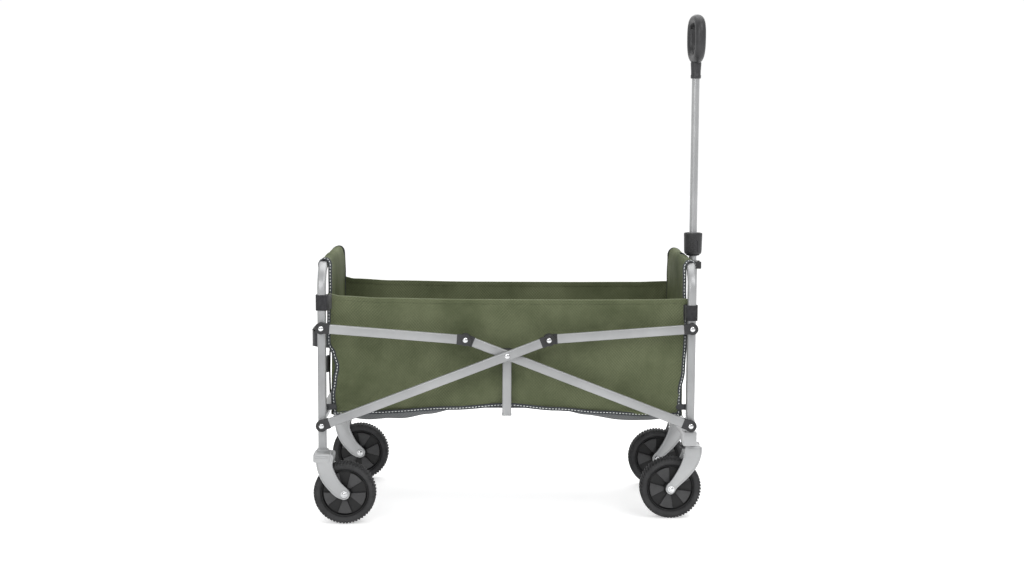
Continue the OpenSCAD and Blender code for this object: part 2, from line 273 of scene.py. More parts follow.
def canvas(name, tint=(1, 1, 1), plane="xz", lo=(70, 77, 52), hi=(103, 109, 82), spec=0.18, sheen=0.05):
    """Coated polyester: two crossing diagonal weaves, each stronger in its own patches."""
    lo, hi = [tuple(a * b for a, b in zip(srgb(*c), tint)) for c in (lo, hi)]
    m = Mat(name, hi, 0.7, spec=spec, sheen=(sheen, 0.5))
    turn = math.radians(41)
    rot = {"xz": (0, turn, 0), "yz": (turn, 0, 0), "xy": (0, 0, turn)}[plane]
    first = "X" if plane[0] == "x" else "Y"
    v1, v2 = m.mapped(rot), m.mapped(tuple(-1.08 * r for r in rot))
    k = WAVE / WEAVE
    one, two = m.wave(k, first, v1, 0.5), m.wave(k * 0.94, first, v2, 0.5)
    patch = m.ramp(m.noise(24, 2, 0.4), [(0.42, (0.26, 0.26, 0.26)), (0.58, (0.74, 0.74, 0.74))])
    both = m.mix(m.grey(one), m.grey(two), patch)
    shown = m.ramp(m.noise(8.3, 3, 0.5), [(0.4, (0.35, 0.35, 0.35)), (0.62, (1, 1, 1))])
    fine = m.wave(k * 2.6, first, v1, 0.0)
    cloud = m.noise(7.5, 5, 0.55)
    fleck = m.noise(520, 3, 0.6)
    base = m.ramp(cloud, [(0.28, lo), (0.5, tuple((a + b) / 2 for a, b in zip(lo, hi))), (0.74, hi)])
    lines = m.ramp(both, [(0.0, (0.76, 0.76, 0.76)), (1.0, (1.14, 1.14, 1.14))])
    specks = m.ramp(fleck, [(0.3, (0.86, 0.86, 0.86)), (0.7, (1.06, 1.06, 1.06))])
    c = m.mix(base, lines, shown, "MULTIPLY")
    c = m.mix(c, specks, 0.7, "MULTIPLY")
    m.color(c)
    m.rough(fleck, 0.58, 0.78)
    m.bump(m.math("ADD", both, m.math("MULTIPLY", fine, 0.3)), 0.00035, 0.8)
    m.bump(m.noise(38, 4), 0.0011, 0.35)
    return m.m


def webbing(name, dark, light, direction="Z", rib=0.0016):
    m = Mat(name, light, 0.66, spec=0.3, sheen=(0.2, 0.4))
    ribs = m.wave(WAVE / rib, direction, None, 0.4)
    c = m.ramp(m.noise(160, 4), [(0.3, dark), (0.7, light)])
    shade = m.ramp(ribs, [(0.0, (0.7, 0.7, 0.7)), (1.0, (1.05, 1.05, 1.05))])
    m.color(m.mix(c, shade, 0.9, "MULTIPLY"))
    m.rough(ribs, 0.55, 0.75)
    m.bump(ribs, 0.0003, 0.8)
    return m.m


def rubber(name):
    m = Mat(name, (0.03, 0.03, 0.03), 0.7, spec=0.35)
    m.color(m.ramp(m.noise(42, 6), [(0.3, srgb(38, 38, 39)), (0.72, srgb(56, 56, 57))]))
    m.rough(m.noise(90, 5), 0.6, 0.85)
    m.bump(m.noise(700, 4), 0.00018, 0.7)
    return m.m


TUBE = metal("tube_grey", srgb(142, 143, 144), srgb(164, 165, 166), (0.32, 0.44), 0.45, 0.04)
ROD = metal("rod_grey", srgb(158, 159, 160), srgb(178, 179, 180), (0.3, 0.36), 0.6, 0.0, 0.1)
FORK = metal("fork_grey", srgb(158, 159, 160), srgb(174, 175, 176), (0.34, 0.48), 0.4)
STEEL = metal("bolt_steel", srgb(196, 197, 199), srgb(226, 227, 228), (0.1, 0.18), 1.0, 0.0)
DARKSTEEL = metal("dark_steel", srgb(48, 49, 51), srgb(66, 67, 70), (0.4, 0.55))
BLACK = plastic("black_plastic", srgb(36, 36, 37), srgb(50, 50, 52))
GRIPM = plastic("grip_plastic", srgb(38, 38, 39), srgb(52, 52, 54), (0.36, 0.5), 1400)
# the hub's plastic is darkened far below its real black: painted shade for its sunk face
HUB_PAINTED_SHADE = plastic("hub_recess_painted_shade", srgb(12, 12, 13), srgb(20, 20, 21), (0.5, 0.62))
PADM = plastic("hub_pads", srgb(50, 50, 51), srgb(62, 62, 63), (0.42, 0.56))
RUBBER = rubber("tyre_rubber")
CANVAS = canvas("canvas_side")
# the far side's canvas is the same cloth coloured lighter: painted light for its inner face, which gets less
# light
CANVAS_FAR_PAINTED_LIGHT = canvas("canvas_far_painted_light", tint=(1.13, 1.12, 1.12))
CANVAS_END = canvas("canvas_end", plane="yz", spec=0.05, sheen=0.0)
CANVAS_FLOOR = canvas("canvas_floor", plane="xy", tint=(0.85, 0.86, 0.88))
# the hem cord is the panel's own cloth, coloured lighter: painted light on the rolled top edge
HEM_PAINTED_LIGHT = canvas("canvas_hem_painted_light", plane="xz", lo=(92, 99, 72), hi=(112, 118, 92))
LINING = canvas("grey_lining", plane="xz", lo=(84, 86, 87), hi=(104, 106, 107))
BINDING = webbing("binding_tape", srgb(44, 47, 50), srgb(64, 68, 72), "Z", 0.0012)
STRAP = webbing("black_webbing", srgb(32, 32, 34), srgb(52, 52, 55))


def thread():
    m = Mat("stitch_thread", srgb(206, 210, 208), 0.6, sheen=(0.1, 0.5))
    m.color(m.ramp(m.noise(900, 3), [(0.3, srgb(186, 190, 190)), (0.7, srgb(226, 228, 226))]))
    m.bump(m.noise(3000, 2), 0.00005, 0.6)
    return m.m


THREAD = thread()


# ---------------------------------------------------------------- mesh helpers
def obj_from_bm(name, bm, mat, angle=35):
    bmesh.ops.remove_doubles(bm, verts=bm.verts, dist=1e-6)
    bmesh.ops.recalc_face_normals(bm, faces=bm.faces)
    me = bpy.data.meshes.new(name)
    bm.to_mesh(me)
    bm.free()
    me.shade_smooth()
    me.set_sharp_from_angle(angle=math.radians(angle))
    me.materials.append(mat)
    o = bpy.data.objects.new(name, me)
    bpy.context.scene.collection.objects.link(o)
    return o


def applied(o):
    """Bakes an object's modifiers into its mesh."""
    dg = bpy.context.evaluated_depsgraph_get()
    me = bpy.data.meshes.new_from_object(o.evaluated_get(dg))
    o.modifiers.clear()
    o.data = me
    return o


def place(o, body, slot, *nodes):
    """The piece rides a body and stands for the named CAD nodes. Its slot argument is not used."""
    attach(o, body)
    if nodes:
        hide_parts(*nodes)
    return o


def put(name, bm, mat, angle, body, slot, *nodes):
    """Turns a finished bmesh into a piece that rides a body and stands for the named nodes."""
    return place(obj_from_bm(name, bm, mat, angle), body, slot, *nodes)


def rsec(w, h, r, n=4):
    """Rounded rectangle as a closed list of (u, v)."""
    out = []
    for cx, cy, a0 in ((1, 1, 0), (-1, 1, 90), (-1, -1, 180), (1, -1, 270)):
        for i in range(n + 1):
            a = math.radians(a0 + 90 * i / n)
            out.append((cx * (w / 2 - r) + r * math.cos(a), cy * (h / 2 - r) + r * math.sin(a)))
    return out


def osec(a, b, n=20):
    """Oval section."""
    return [(a * math.cos(2 * math.pi * i / n), b * math.sin(2 * math.pi * i / n)) for i in range(n)]


def tube_faces(bm, rings, closed):
    """Joins rings of vertices into a skin, with a cap on each end of an open one."""
    for r0, r1 in zip(rings, rings[1:] + rings[:1] if closed else rings[1:]):
        for j in range(len(r0)):
            k = (j + 1) % len(r0)
            bm.faces.new((r0[j], r0[k], r1[k], r1[j]))
    if not closed:
        bm.faces.new(rings[0][::-1])
        bm.faces.new(rings[-1])


def sweep_bm(bm, pts, sec, normal, closed=False, scales=None):
    """Runs a section along a planar path. Its v axis is the plane's normal, u lies in the plane."""
    n = V(normal).normalized()
    pts = [V(p) for p in pts]
    rings = []
    for i, p in enumerate(pts):
        if closed:
            a, b = pts[i - 1], pts[(i + 1) % len(pts)]
        else:
            a, b = pts[max(i - 1, 0)], pts[min(i + 1, len(pts) - 1)]
        t = (b - a).normalized()
        u = n.cross(t).normalized()
        k = 1.0
        if 0 < i < len(pts) - 1 or closed:
            c = t.dot((pts[(i + 1) % len(pts)] - p).normalized())
            k = 1 / max(c, 0.5)
        s = scales[i] if scales else 1.0
        su, sv = s if isinstance(s, tuple) else (s, s)
        rings.append([bm.verts.new(p + u * (x * k * su) + n * (y * sv)) for x, y in sec])
    tube_faces(bm, rings, closed)
    return bm


def ribbon_bm(bm, pts, normals, sec):
    """Runs a section along a line on a surface: u across the ribbon, v along each point's normal."""
    rings = []
    for i, p in enumerate(pts):
        t = (pts[min(i + 1, len(pts) - 1)] - pts[max(i - 1, 0)]).normalized()
        n = normals[i]
        u = n.cross(t).normalized()
        n = t.cross(u).normalized()
        rings.append([bm.verts.new(p + u * x + n * y) for x, y in sec])
    tube_faces(bm, rings, False)


def sweep(name, pts, sec, normal, mat, angle=40):
    return obj_from_bm(name, sweep_bm(bmesh.new(), pts, sec, normal), mat, angle)


def lathe_bm(bm, profile, axis, origin, seg=48):
    """Turns (r, z) points round an axis through origin."""
    q = V((0, 0, 1)).rotation_difference(V(axis)).to_matrix()
    o = V(origin)
    rings = []
    for r, z in profile:
        if r < 1e-7:
            rings.append([bm.verts.new(o + q @ V((0, 0, z)))])
        else:
            turns = [2 * math.pi * i / seg for i in range(seg)]
            rings.append([bm.verts.new(o + q @ V((r * math.cos(a), r * math.sin(a), z))) for a in turns])
    for a, b in zip(rings, rings[1:]):
        for j in range(seg):
            k = (j + 1) % seg
            if len(a) == 1 and len(b) == 1:
                continue
            if len(a) == 1:
                bm.faces.new((a[0], b[j], b[k]))
            elif len(b) == 1:
                bm.faces.new((a[j], a[k], b[0]))
            else:
                bm.faces.new((a[j], a[k], b[k], b[j]))
    return bm


def closed_profile(bm, profile, axis, origin, seg=48):
    """Turns a profile whose last point joins its first, so the body is hollow."""
    return lathe_bm(bm, list(profile) + [profile[0]], axis, origin, seg)


def arc(cx, cy, r, a0, a1, n):
    """Points on an arc from a0 to a1 degrees."""
    turns = [math.radians(a0 + (a1 - a0) * i / n) for i in range(n + 1)]
    return [(cx + r * math.cos(a), cy + r * math.sin(a)) for a in turns]


def mm(*points):
    """Points given in millimetres."""
    return [tuple(c / 1000 for c in p) for p in points]


def prism_bm(bm, poly, w0, w1, bevel, seg=2, profile=0.6, along="y"):
    """Extrudes an (x, z) outline along Y, or a (y, z) one along X, and rounds its two rims."""
    tmp = bmesh.new()
    a, b = [[tmp.verts.new((u, w, v) if along == "y" else (w, u, v)) for u, v in poly] for w in (w0, w1)]
    n = len(poly)
    f0 = tmp.faces.new(a)
    f1 = tmp.faces.new(b[::-1])
    for i in range(n):
        tmp.faces.new((a[i], b[i], b[(i + 1) % n], a[(i + 1) % n]))
    bmesh.ops.recalc_face_normals(tmp, faces=tmp.faces)
    edges = [e for f in (f0, f1) for e in f.edges]
    bmesh.ops.bevel(tmp, geom=edges, offset=bevel, segments=seg, profile=profile, affect="EDGES")
    me = bpy.data.meshes.new("tmp")
    tmp.to_mesh(me)
    tmp.free()
    bm.from_mesh(me)
    bpy.data.meshes.remove(me)


slot_of = {s["node"]: s["material_slot"] for s in frame["record"]["subparts"]}


def soften(node, mat, width):
    """A rounded copy of a CAD node, which it then stands for."""
    src = NODES[node]
    bm = bmesh.new()
    bm.from_mesh(src.data)
    bmesh.ops.remove_doubles(bm, verts=bm.verts, dist=1e-5)
    bmesh.ops.dissolve_limit(bm, angle_limit=math.radians(2), verts=bm.verts, edges=bm.edges)
    edges = [e for e in bm.edges if len(e.link_faces) == 2 and e.calc_face_angle(0) > math.radians(35)]
    bmesh.ops.bevel(
        bm, geom=edges, offset=width, segments=3, profile=0.55, affect="EDGES", clamp_overlap=True)
    o = obj_from_bm(node + ".shape", bm, mat, 40)
    body = src["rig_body"] if "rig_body" in src else body_of(src)
    return place(o, body, slot_of[node], node)


def stadium(p, q, r, n=10):
    """Outline round two points, as (x, z)."""
    p, q = V(p), V(q)
    a = math.degrees(math.atan2(q.y - p.y, q.x - p.x))
    return arc(q.x, q.y, r, a - 90, a + 90, n) + arc(p.x, p.y, r, a + 90, a + 270, n)


# ---------------------------------------------------------------- sizes, repeated from the part
HALF, ZLOW, ZUP, ZC = 0.444, 0.237, 0.473, 0.408
R1 = math.hypot(HALF, ZC - ZLOW)
PHI0, PHI1 = math.atan2(ZC - ZLOW, HALF), math.acos(0.068 / R1)
H = ZUP - ZLOW
R2 = R1 * H / (2 * R1 * (math.sin(PHI0) + math.sin(PHI1)) - H)
KX, KZ = R2 * math.cos(PHI0), ZC + R2 * math.sin(PHI0)
REAR_Y, FRONT_Y, INNER_Y, OUTER_Y, TUB_Y = 0.226, 0.212, 0.23, 0.244, 0.198
REAR_TRACK, FRONT_TRACK, WR = 0.24, 0.176, 0.075
HX, PZ = 0.469, 0.205
AX_R, AX_F = (-HALF + 0.055, WR), (HALF - 0.042, WR)


HOOP_Z = 0.619      # middle of a hoop's top tube
BEND_R = 0.072      # outside radius of a hoop's top bends
POST_Y = 0.212
FLOOR_Z, ROD_X, BOARD_Y = 0.278, 0.418, 0.1875
CLOTH, TAPE_W, TAPE_T = 0.0014, 0.0092, 0.0032


# ---------------------------------------------------------------- frame tubes
def hoop(x, y, bottom, rad=BEND_R - 0.01):
    bend = [math.radians(9 * i) for i in range(11)]
    left = [(x, -y + rad - rad * math.cos(a), HOOP_Z - rad + rad * math.sin(a)) for a in bend]
    return [(x, -y, bottom)] + left + [(x, -v, z) for _, v, z in left[::-1]] + [(x, y, bottom)]


for name, x, y, foot in (("rear", -HALF, REAR_Y, 0.172), ("front", HALF, FRONT_Y, 0.187)):
    o = sweep(name + "_hoop.tube", hoop(x, y, foot), rsec(0.02, 0.02, 0.0052, 5), (1, 0, 0), TUBE)
    place(o, name + "_frame", "tube", name + "_hoop")


TUBE_START = 0.0172  # a side tube leaves its moulding this far from the joint


def side_tubes(name, p, q, y, body):
    """One flat tube on each side between the joints p and q."""
    bm = bmesh.new()
    d = (V((q[0], 0, q[1])) - V((p[0], 0, p[1]))).normalized()
    for s in (-1, 1):
        a, b = V((p[0], s * y, p[1])) + d * TUBE_START, V((q[0], s * y, q[1])) - d * TUBE_START
        sweep_bm(bm, [a, b], rsec(0.022, 0.012, 0.0024, 4), (0, 1, 0))
    put(name + ".tube", bm, TUBE, 40, body, "tube", name)


LJ, UJ = (HALF, ZLOW), (HALF, ZUP)
KR, KL = (KX, KZ), (-KX, KZ)
side_tubes("rear_diagonals", (-HALF, ZLOW), KR, OUTER_Y, "rear_diagonals")
side_tubes("front_diagonals", LJ, KL, INNER_Y, "front_diagonals")
side_tubes("rear_links", (-HALF, ZUP), KL, OUTER_Y, "rear_links")
side_tubes("front_links", UJ, KR, INNER_Y, "front_links")


def tube_ends(name, ends, y, body):
    """Moulded end fittings: a round eye with a raised rim, a neck and a collar lip over the tube."""
    bm = bmesh.new()
    for p, q in ends:
        d = (V(q) - V(p)).normalized()
        a = math.degrees(math.atan2(d.y, d.x))
        n = V((-d.y, d.x))
        p2 = V(p)
        eye = arc(p2.x, p2.y, 0.0142, a + 58, a + 302, 22)
        neck = ((0.0192, -0.0124), (0.0206, -0.0112), (0.0206, 0.0112), (0.0192, 0.0124))
        poly = eye + [tuple(p2 + d * along + n * up) for along, up in neck]
        for s in (-1, 1):
            prism_bm(bm, poly, s * y - 0.0066, s * y + 0.0066, 0.0014)
            for side in (-1, 1):
                prof = mm((9.6, 0), (10, 0.6), (12, 0.6), (12.6, 0))
                lathe_bm(bm, prof, (0, side, 0), (p[0], s * y + side * 0.0064, p[1]), 32)
    put(name + ".moulding", bm, BLACK, 35, body, "plastic", name)


tube_ends("rear_diagonal_ends", [((-HALF, ZLOW), KR), (KR, (-HALF, ZLOW))], OUTER_Y, "rear_diagonals")
tube_ends("front_diagonal_ends", [(LJ, KL), (KL, LJ)], INNER_Y, "front_diagonals")
tube_ends("rear_link_ends", [((-HALF, ZUP), KL), (KL, (-HALF, ZUP))], OUTER_Y, "rear_links")
tube_ends("front_link_ends", [(UJ, KR), (KR, UJ)], INNER_Y, "front_links")


def dome(bm, x, z, y, side, r=0.0064, h=0.0032):
    """Polished half-round rivet head."""
    low = 0.0003
    turns = [math.radians(a) for a in range(10, 91, 10)]
    prof = [(r, 0), (r, low)] + [(r * math.cos(a), low + (h - low) * math.sin(a)) for a in turns]
    lathe_bm(bm, prof, (0, side, 0), (x, y, z), 32)


def shaft(bm, x, z, y0, y1, r):
    lathe_bm(bm, [(0, 0), (r, 0), (r, y1 - y0), (0, y1 - y0)], (0, 1, 0), (x, y0, z), 28)


def rivets(name, pts, y_in, y_out, body, slot="fastener", r=0.0064, nodes=True, shank=0.004):
    bm = bmesh.new()
    for x, z in pts:
        for s in (-1, 1):
            shaft(bm, x, z, min(s * y_in, s * y_out), max(s * y_in, s * y_out), shank)
            dome(bm, x, z, s * y_out, s, r)
            dome(bm, x, z, s * y_in, -s, r * 1.1, 0.0014)
    put(name + ".heads", bm, STEEL, 35, body, slot, *([name] if nodes else []))


rivets("rear_rivets", [(-HALF, ZLOW), (-HALF, ZUP)], REAR_Y - 0.01, 0.2507, "rear_frame")
rivets("front_rivets", [(HALF, ZLOW), (HALF, ZUP)], FRONT_Y - 0.01, 0.2367, "front_frame")
rivets("crossing_pins", [(0, ZC)], 0.2017, 0.2502, "rear_diagonals", r=0.0066, shank=0.005)
rivets("knuckle_rear_diagonal", [KR], 0.2385, 0.2507, "rear_diagonals", nodes=False)
rivets("knuckle_rear_link", [KL], 0.2385, 0.2507, "rear_links", nodes=False)
rivets("knuckle_front_diagonal", [KL], 0.224, 0.2355, "front_diagonals", nodes=False)
rivets("knuckle_front_link", [KR], 0.224, 0.2355, "front_links", nodes=False)

# centre posts, caps and bars under the tub
bm = bmesh.new()
for s in (-1, 1):
    line = [(0, s * POST_Y, z) for z in (0.263, 0.4172)]
    sweep_bm(bm, line, rsec(0.02, 0.022, 0.0035, 4), (1, 0, 0))
put("centre_posts.tube", bm, TUBE, 40, "centre_frame", "tube", "centre_posts")
for tag, z0, z1, m in (("upper", 0.415, 0.4214, BLACK), ("lower", 0.2585, 0.264, TUBE)):
    bm = bmesh.new()
    for s in (-1, 1):
        line = [(0, s * POST_Y, z) for z in (z0, z0 + 0.0012, z1 - 0.0012, z1)]
        sweep_bm(bm, line, rsec(0.0208, 0.0236, 0.0042, 4), (1, 0, 0), scales=[0.93, 1.0, 1.0, 0.93])
    put("post_caps." + tag, bm, m, 40, "centre_frame", "plastic", "post_caps")
for n in ("rear_crossbar", "front_crossbar"):
    soften(n, TUBE, 0.003)
for n in ("rear_floor_rod", "front_floor_rod", "centre_crossbar"):
    soften(n, DARKSTEEL, 0.0008)


# ---------------------------------------------------------------- forks and casters
def fork_arm(bm, y, side, outline):
    """A pressed blade with a rolled rim round it and a sunk face."""
    pts = smooth_loop([V((x, 0, z)) for x, z in outline], 5)
    poly = [(p.x, p.z) for p in pts]
    y0, y1 = y + side * 0.0243, y + side * 0.028
    prism_bm(bm, poly, min(y0, y1), max(y0, y1), 0.001)
    ring = []
    for i, p in enumerate(pts):
        t = (pts[(i + 1) % len(pts)] - pts[i - 1]).normalized()
        u = V((0, 1, 0)).cross(t)
        inward = -u if anticlockwise(poly) else u
        ring.append(V((p.x, y1, p.z)) + inward * 0.0022)
    sweep_bm(bm, ring, osec(0.0018, 0.0012, 8), (0, 1, 0), closed=True)


def anticlockwise(poly):
    """True when an (x, z) outline runs anticlockwise, x to the right."""
    return sum(a[0] * b[1] - b[0] * a[1] for a, b in zip(poly, poly[1:] + poly[:1])) > 0


def between(p0, p1, p2, p3, t):
    """Catmull-Rom point from p1 (t = 0) to p2 (t = 1)."""
    bend = (2 * p0 - 5 * p1 + 4 * p2 - p3) * t * t
    return 0.5 * ((2 * p1) + (p2 - p0) * t + bend + (-p0 + 3 * p1 - 3 * p2 + p3) * t ** 3)


def smooth_loop(c, n):
    """Closed smooth line through the points."""
    m = len(c)
    turn = [(c[i - 1], c[i], c[(i + 1) % m], c[(i + 2) % m]) for i in range(m)]
    return [between(*four, k / n) for four in turn for k in range(n)]


def smooth_path(ctrl, n=8):
    """Open smooth line through the points."""
    c = [V(p) for p in ctrl]
    c = [c[0] * 2 - c[1]] + c + [c[-1] * 2 - c[-2]]
    return [between(*c[i - 1:i + 3], k / n) for i in range(1, len(c) - 2) for k in range(n)] + [c[-2]]


# outlines of the fork blades as (x, z), in millimetres from the axle or from the leg
REAR_ARM = [(AX_R[0] + x, z) for x, z in mm(
    (-63, 170), (-42, 171.5), (-26, 169), (-27.5, 145), (-23, 131), (-16.2, 116.2), (-7.8, 102.7),
    (2.4, 92.6), (11.2, 83), (13.3, 74.5), (9.5, 65.5), (0, 61.5), (-11, 64), (-23, 70.6),
    (-34.8, 82.4), (-46.6, 96), (-55, 109.5), (-61.5, 124.7), (-66, 141.6), (-67.2, 156))]
FRONT_ARM = [(HALF + x, z) for x, z in mm(
    (-7, 180.8), (9, 181.4), (30, 180.8), (31.8, 164), (25.8, 142), (16.5, 124.7), (2.5, 107), (-13.5, 91),
    (-27.5, 77.5), (-34.5, 66.5), (-42.5, 62), (-51, 65.5), (-54.8, 74.5), (-51.5, 85), (-41.5, 96.7),
    (-32.5, 110.7), (-23, 128), (-17, 142), (-10.8, 160))]


def crown(bm, cx, cy, z0, z1, r, ribs=0):
    """Rounded crown block that the arms grow from."""
    pts = arc(-0.024, z1 - 0.006, 0.006, 180, 90, 5) + arc(0.024, z1 - 0.006, 0.006, 90, 0, 5)
    poly = [(cy - 0.0297, z0)] + [(cy + u, v) for u, v in pts] + [(cy + 0.0297, z0)]
    prism_bm(bm, poly, cx - r, cx + r, 0.004, 3, 0.5, "x")
    for i in range(ribs):
        z = z1 - 0.0035 - i * 0.0042
        for s in (-1, 1):
            line = [(cx + e * r * 0.8, cy + s * 0.0302, z) for e in (-1, 1)]
            sweep_bm(bm, line, osec(0.001, 0.001, 8), (0, 1, 0))


for name, s in (("rear_fork_left", 1), ("rear_fork_right", -1)):
    bm = bmesh.new()
    cy = s * REAR_TRACK
    crown(bm, -HALF + 0.001, cy, 0.1525, 0.1735, 0.02, 3)
    # socket round the leg's foot
    line = [(-HALF, s * REAR_Y, z) for z in (0.17, 0.1765, 0.1785)]
    sweep_bm(bm, line, rsec(0.0262, 0.0262, 0.006, 4), (1, 0, 0), scales=[1.12, 1.06, 0.9])
    for side in (-1, 1):
        fork_arm(bm, cy, side, REAR_ARM)
    put(name + ".casting", bm, FORK, 35, "rear_frame", "fork", name)

for name, s in (("caster_left", 1), ("caster_right", -1)):
    bm = bmesh.new()
    cy = s * FRONT_TRACK
    crown(bm, HALF + 0.01, cy, 0.155, 0.1815, 0.0185)
    for side in (-1, 1):
        fork_arm(bm, cy, side, FRONT_ARM)
    put(name + ".casting", bm, FORK, 35, name, "fork", name)
    bm = bmesh.new()
    races = mm((6.2, 172.5), (18.5, 172.5), (19.5, 173.5), (19.5, 177.5), (18, 178.5), (16.5, 179),
               (16.5, 180), (18, 180.5), (18, 184.5), (17.2, 185.5), (6.2, 185.5))
    lathe_bm(bm, races, (0, 0, 1), (HALF, cy, 0), 48)
    put(name + ".bearing", bm, BLACK, 30, name, "plastic")

soften("caster_sockets", FORK, 0.0035)
for n in ("stem_left", "stem_right", "handle_bolt"):
    soften(n, STEEL, 0.0008)
soften("handle_bracket", DARKSTEEL, 0.0008)


def bolt(bm, p, y, side):
    """Polished axle cap on a thin washer."""
    lathe_bm(bm, mm((0, 0), (8, 0), (8, 0.6), (0, 0.6)), (0, side, 0), (p[0], y, p[1]), 32)
    turns = [math.radians(a) for a in range(0, 91, 10)]
    cap = [(0.0062 * math.cos(a), 0.0006 + 0.0034 * math.sin(a)) for a in turns]
    lathe_bm(bm, cap, (0, side, 0), (p[0], y, p[1]), 28)


def axle(name, p, ys, body):
    bm = bmesh.new()
    for y in ys:
        shaft(bm, p[0], p[1], y - 0.031, y + 0.031, 0.005)
        for s in (-1, 1):
            bolt(bm, p, y + s * 0.0292, s)
            spacer = mm((5, 0), (7.8, 0), (7.8, 3.4), (5, 3.4))
            lathe_bm(bm, spacer, (0, s, 0), (p[0], y + s * 0.0209, p[1]), 24)
    put(name + ".bolts", bm, STEEL, 30, body, "fastener", name)


axle("rear_axles", AX_R, (-REAR_TRACK, REAR_TRACK), "rear_frame")
axle("front_axle_left", AX_F, (FRONT_TRACK,), "caster_left")
axle("front_axle_right", AX_F, (-FRONT_TRACK,), "caster_right")


# ---------------------------------------------------------------- wheels
BLOCKS = 58  # tread blocks in each row


def tyre_bm():
    """Tyre about the Y axis: a round carcass with two staggered rows of small shallow blocks."""
    bm = bmesh.new()
    half = mm((57.5, -14), (59, -16.8), (61.5, -19), (65.5, -20.3), (69.7, -19.4), (71.8, -16.8), (72.8, -9))
    prof = half + mm((73, 0)) + [(r, -y) for r, y in half[::-1]]
    closed_profile(bm, prof, (0, 1, 0), (0, 0, 0), 96)
    # section of one block as (r, y), from the crown down over the shoulder: its top and its foot
    top = mm((75, 2.2), (75, 12), (74.2, 16.8), (72, 19.8), (69.2, 20.7))
    low = mm((72.4, 2.2), (72.4, 12), (71.3, 16), (69.8, 18.4), (68, 19.6))
    pitch = 2 * math.pi / BLOCKS
    foot = pitch * 0.62
    for row, off in ((-1, 0.0), (1, 0.5)):
        for i in range(BLOCKS):
            cols = []
            for k, (outer, inner) in enumerate(zip(top, low)):
                middle = pitch * (i + off) + row * 0.012 * (2 - k)
                quad = []
                for (r, y), wide in ((outer, foot * 0.84), (inner, foot)):
                    for a in (middle - wide / 2, middle + wide / 2):
                        quad.append(bm.verts.new((r * math.cos(a), row * y, r * math.sin(a))))
                cols.append(quad)
            for c0, c1 in zip(cols, cols[1:]):
                for j, k in ((0, 1), (2, 0), (1, 3), (3, 2)):
                    bm.faces.new((c0[j], c0[k], c1[k], c1[j]))
            for c in (cols[0], cols[-1]):
                bm.faces.new((c[0], c[2], c[3], c[1]))
    return bm


def hub_bm():
    """Hub disc about the Y axis: a thin rim lip, a sunk face and a boss."""
    bm = bmesh.new()
    half = mm((5.6, -23.8), (13.5, -23.8), (15, -22.2), (15.8, -12), (17.5, -7.8), (52, -7.8), (53.5, -9.5),
              (54.5, -14), (56.2, -15), (57.8, -13.8))
    prof = half + mm((58.2, 0)) + [(r, -y) for r, y in half[::-1]]
    closed_profile(bm, prof, (0, 1, 0), (0, 0, 0), 96)
    return bm


def pads_bm():
    """Five raised wedge pads on each face of the hub, wide at the rim and narrow at the boss."""
    bm = bmesh.new()
    for s in (-1, 1):
        for i in range(5):
            a = 2 * math.pi * i / 5 + math.radians(90)
            boss = [(0.015, a + math.radians(15) * k) for k in (-1, 0, 1)]
            rim = [(0.0508, a + math.radians(19.5) * (1 - k / 4)) for k in range(9)]
            pts = [(r * math.cos(t), r * math.sin(t)) for r, t in boss + rim]
            y0, y1 = s * 0.006, s * 0.0128
            prism_bm(bm, pts, min(y0, y1), max(y0, y1), 0.0014)
    return bm


# each wheel's axle, middle plane and how far it is turned
WHEELS = (("rear_left", AX_R, REAR_TRACK, 12), ("rear_right", AX_R, -REAR_TRACK, 36),
          ("front_left", AX_F, FRONT_TRACK, 50), ("front_right", AX_F, -FRONT_TRACK, -24))
# the hub disc takes the darkened plastic: painted shade
LAYERS = (("tyre", tyre_bm, RUBBER, "tread"), ("hub", hub_bm, HUB_PAINTED_SHADE, "plastic"),
          ("pads", pads_bm, PADM, "plastic"))
for tag, p, y, turned in WHEELS:
    turn = Matrix.Rotation(math.radians(turned), 4, "Y")
    for kind, maker, mat, slot in LAYERS:
        o = obj_from_bm(f"{kind}_{tag}.shape", maker(), mat, 32)
        o.data.transform(Matrix.Translation(V((p[0], y, p[1]))) @ turn)
        place(o, "wheel_" + tag, slot, *([] if kind == "pads" else [f"{kind}_{tag}"]))


# ---------------------------------------------------------------- pull handle
UP, ROOT = (0, 0, 1), (HX, 0, 0)
bm = bmesh.new()
top = 0.618 - PZ
tube = [(0, 0.012), (0.0115, 0.012), (0.0115, top), (0.0096, top), (0.0096, 0.0135), (0, 0.0135)]
lathe_bm(bm, tube, UP, (HX, 0, PZ), 48)
prism_bm(bm, stadium((HX, PZ), (HX, PZ + 0.002), 0.0115, 12), -0.0126, 0.0126, 0.0015)
put("handle_tube.shape", bm, TUBE, 35, "handle", "tube", "handle_tube")
bm = bmesh.new()
core = mm((9.7, 629), (12.2, 629), (12.2, 630), (16, 630), (17, 630.8), (17, 632.2), (14.5, 632.7),
          (14.5, 661), (13.7, 662), (9.7, 662))
closed_profile(bm, core, UP, ROOT, 48)
put("lock_core.shape", bm, BLACK, 35, "handle", "plastic", "lock_core")
# lock sleeve: a slightly flared cup with a rolled lip, and an arched, ribbed finger grip each side
bm = bmesh.new()
sleeve = mm((14.7, 633.6), (19.6, 633.6), (20.5, 634.5), (21.4, 636.8), (22, 640), (22.3, 644), (22.5, 656),
            (22.8, 668), (23, 676), (23.2, 679), (23.3, 684.2), (22.6, 686.2), (21.2, 686.4), (20.5, 685.2),
            (20, 674), (14.7, 672))
closed_profile(bm, sleeve, UP, ROOT, 64)


def sleeve_r(z):
    return 0.0223 + max(0.0, z - 0.644) * 0.022


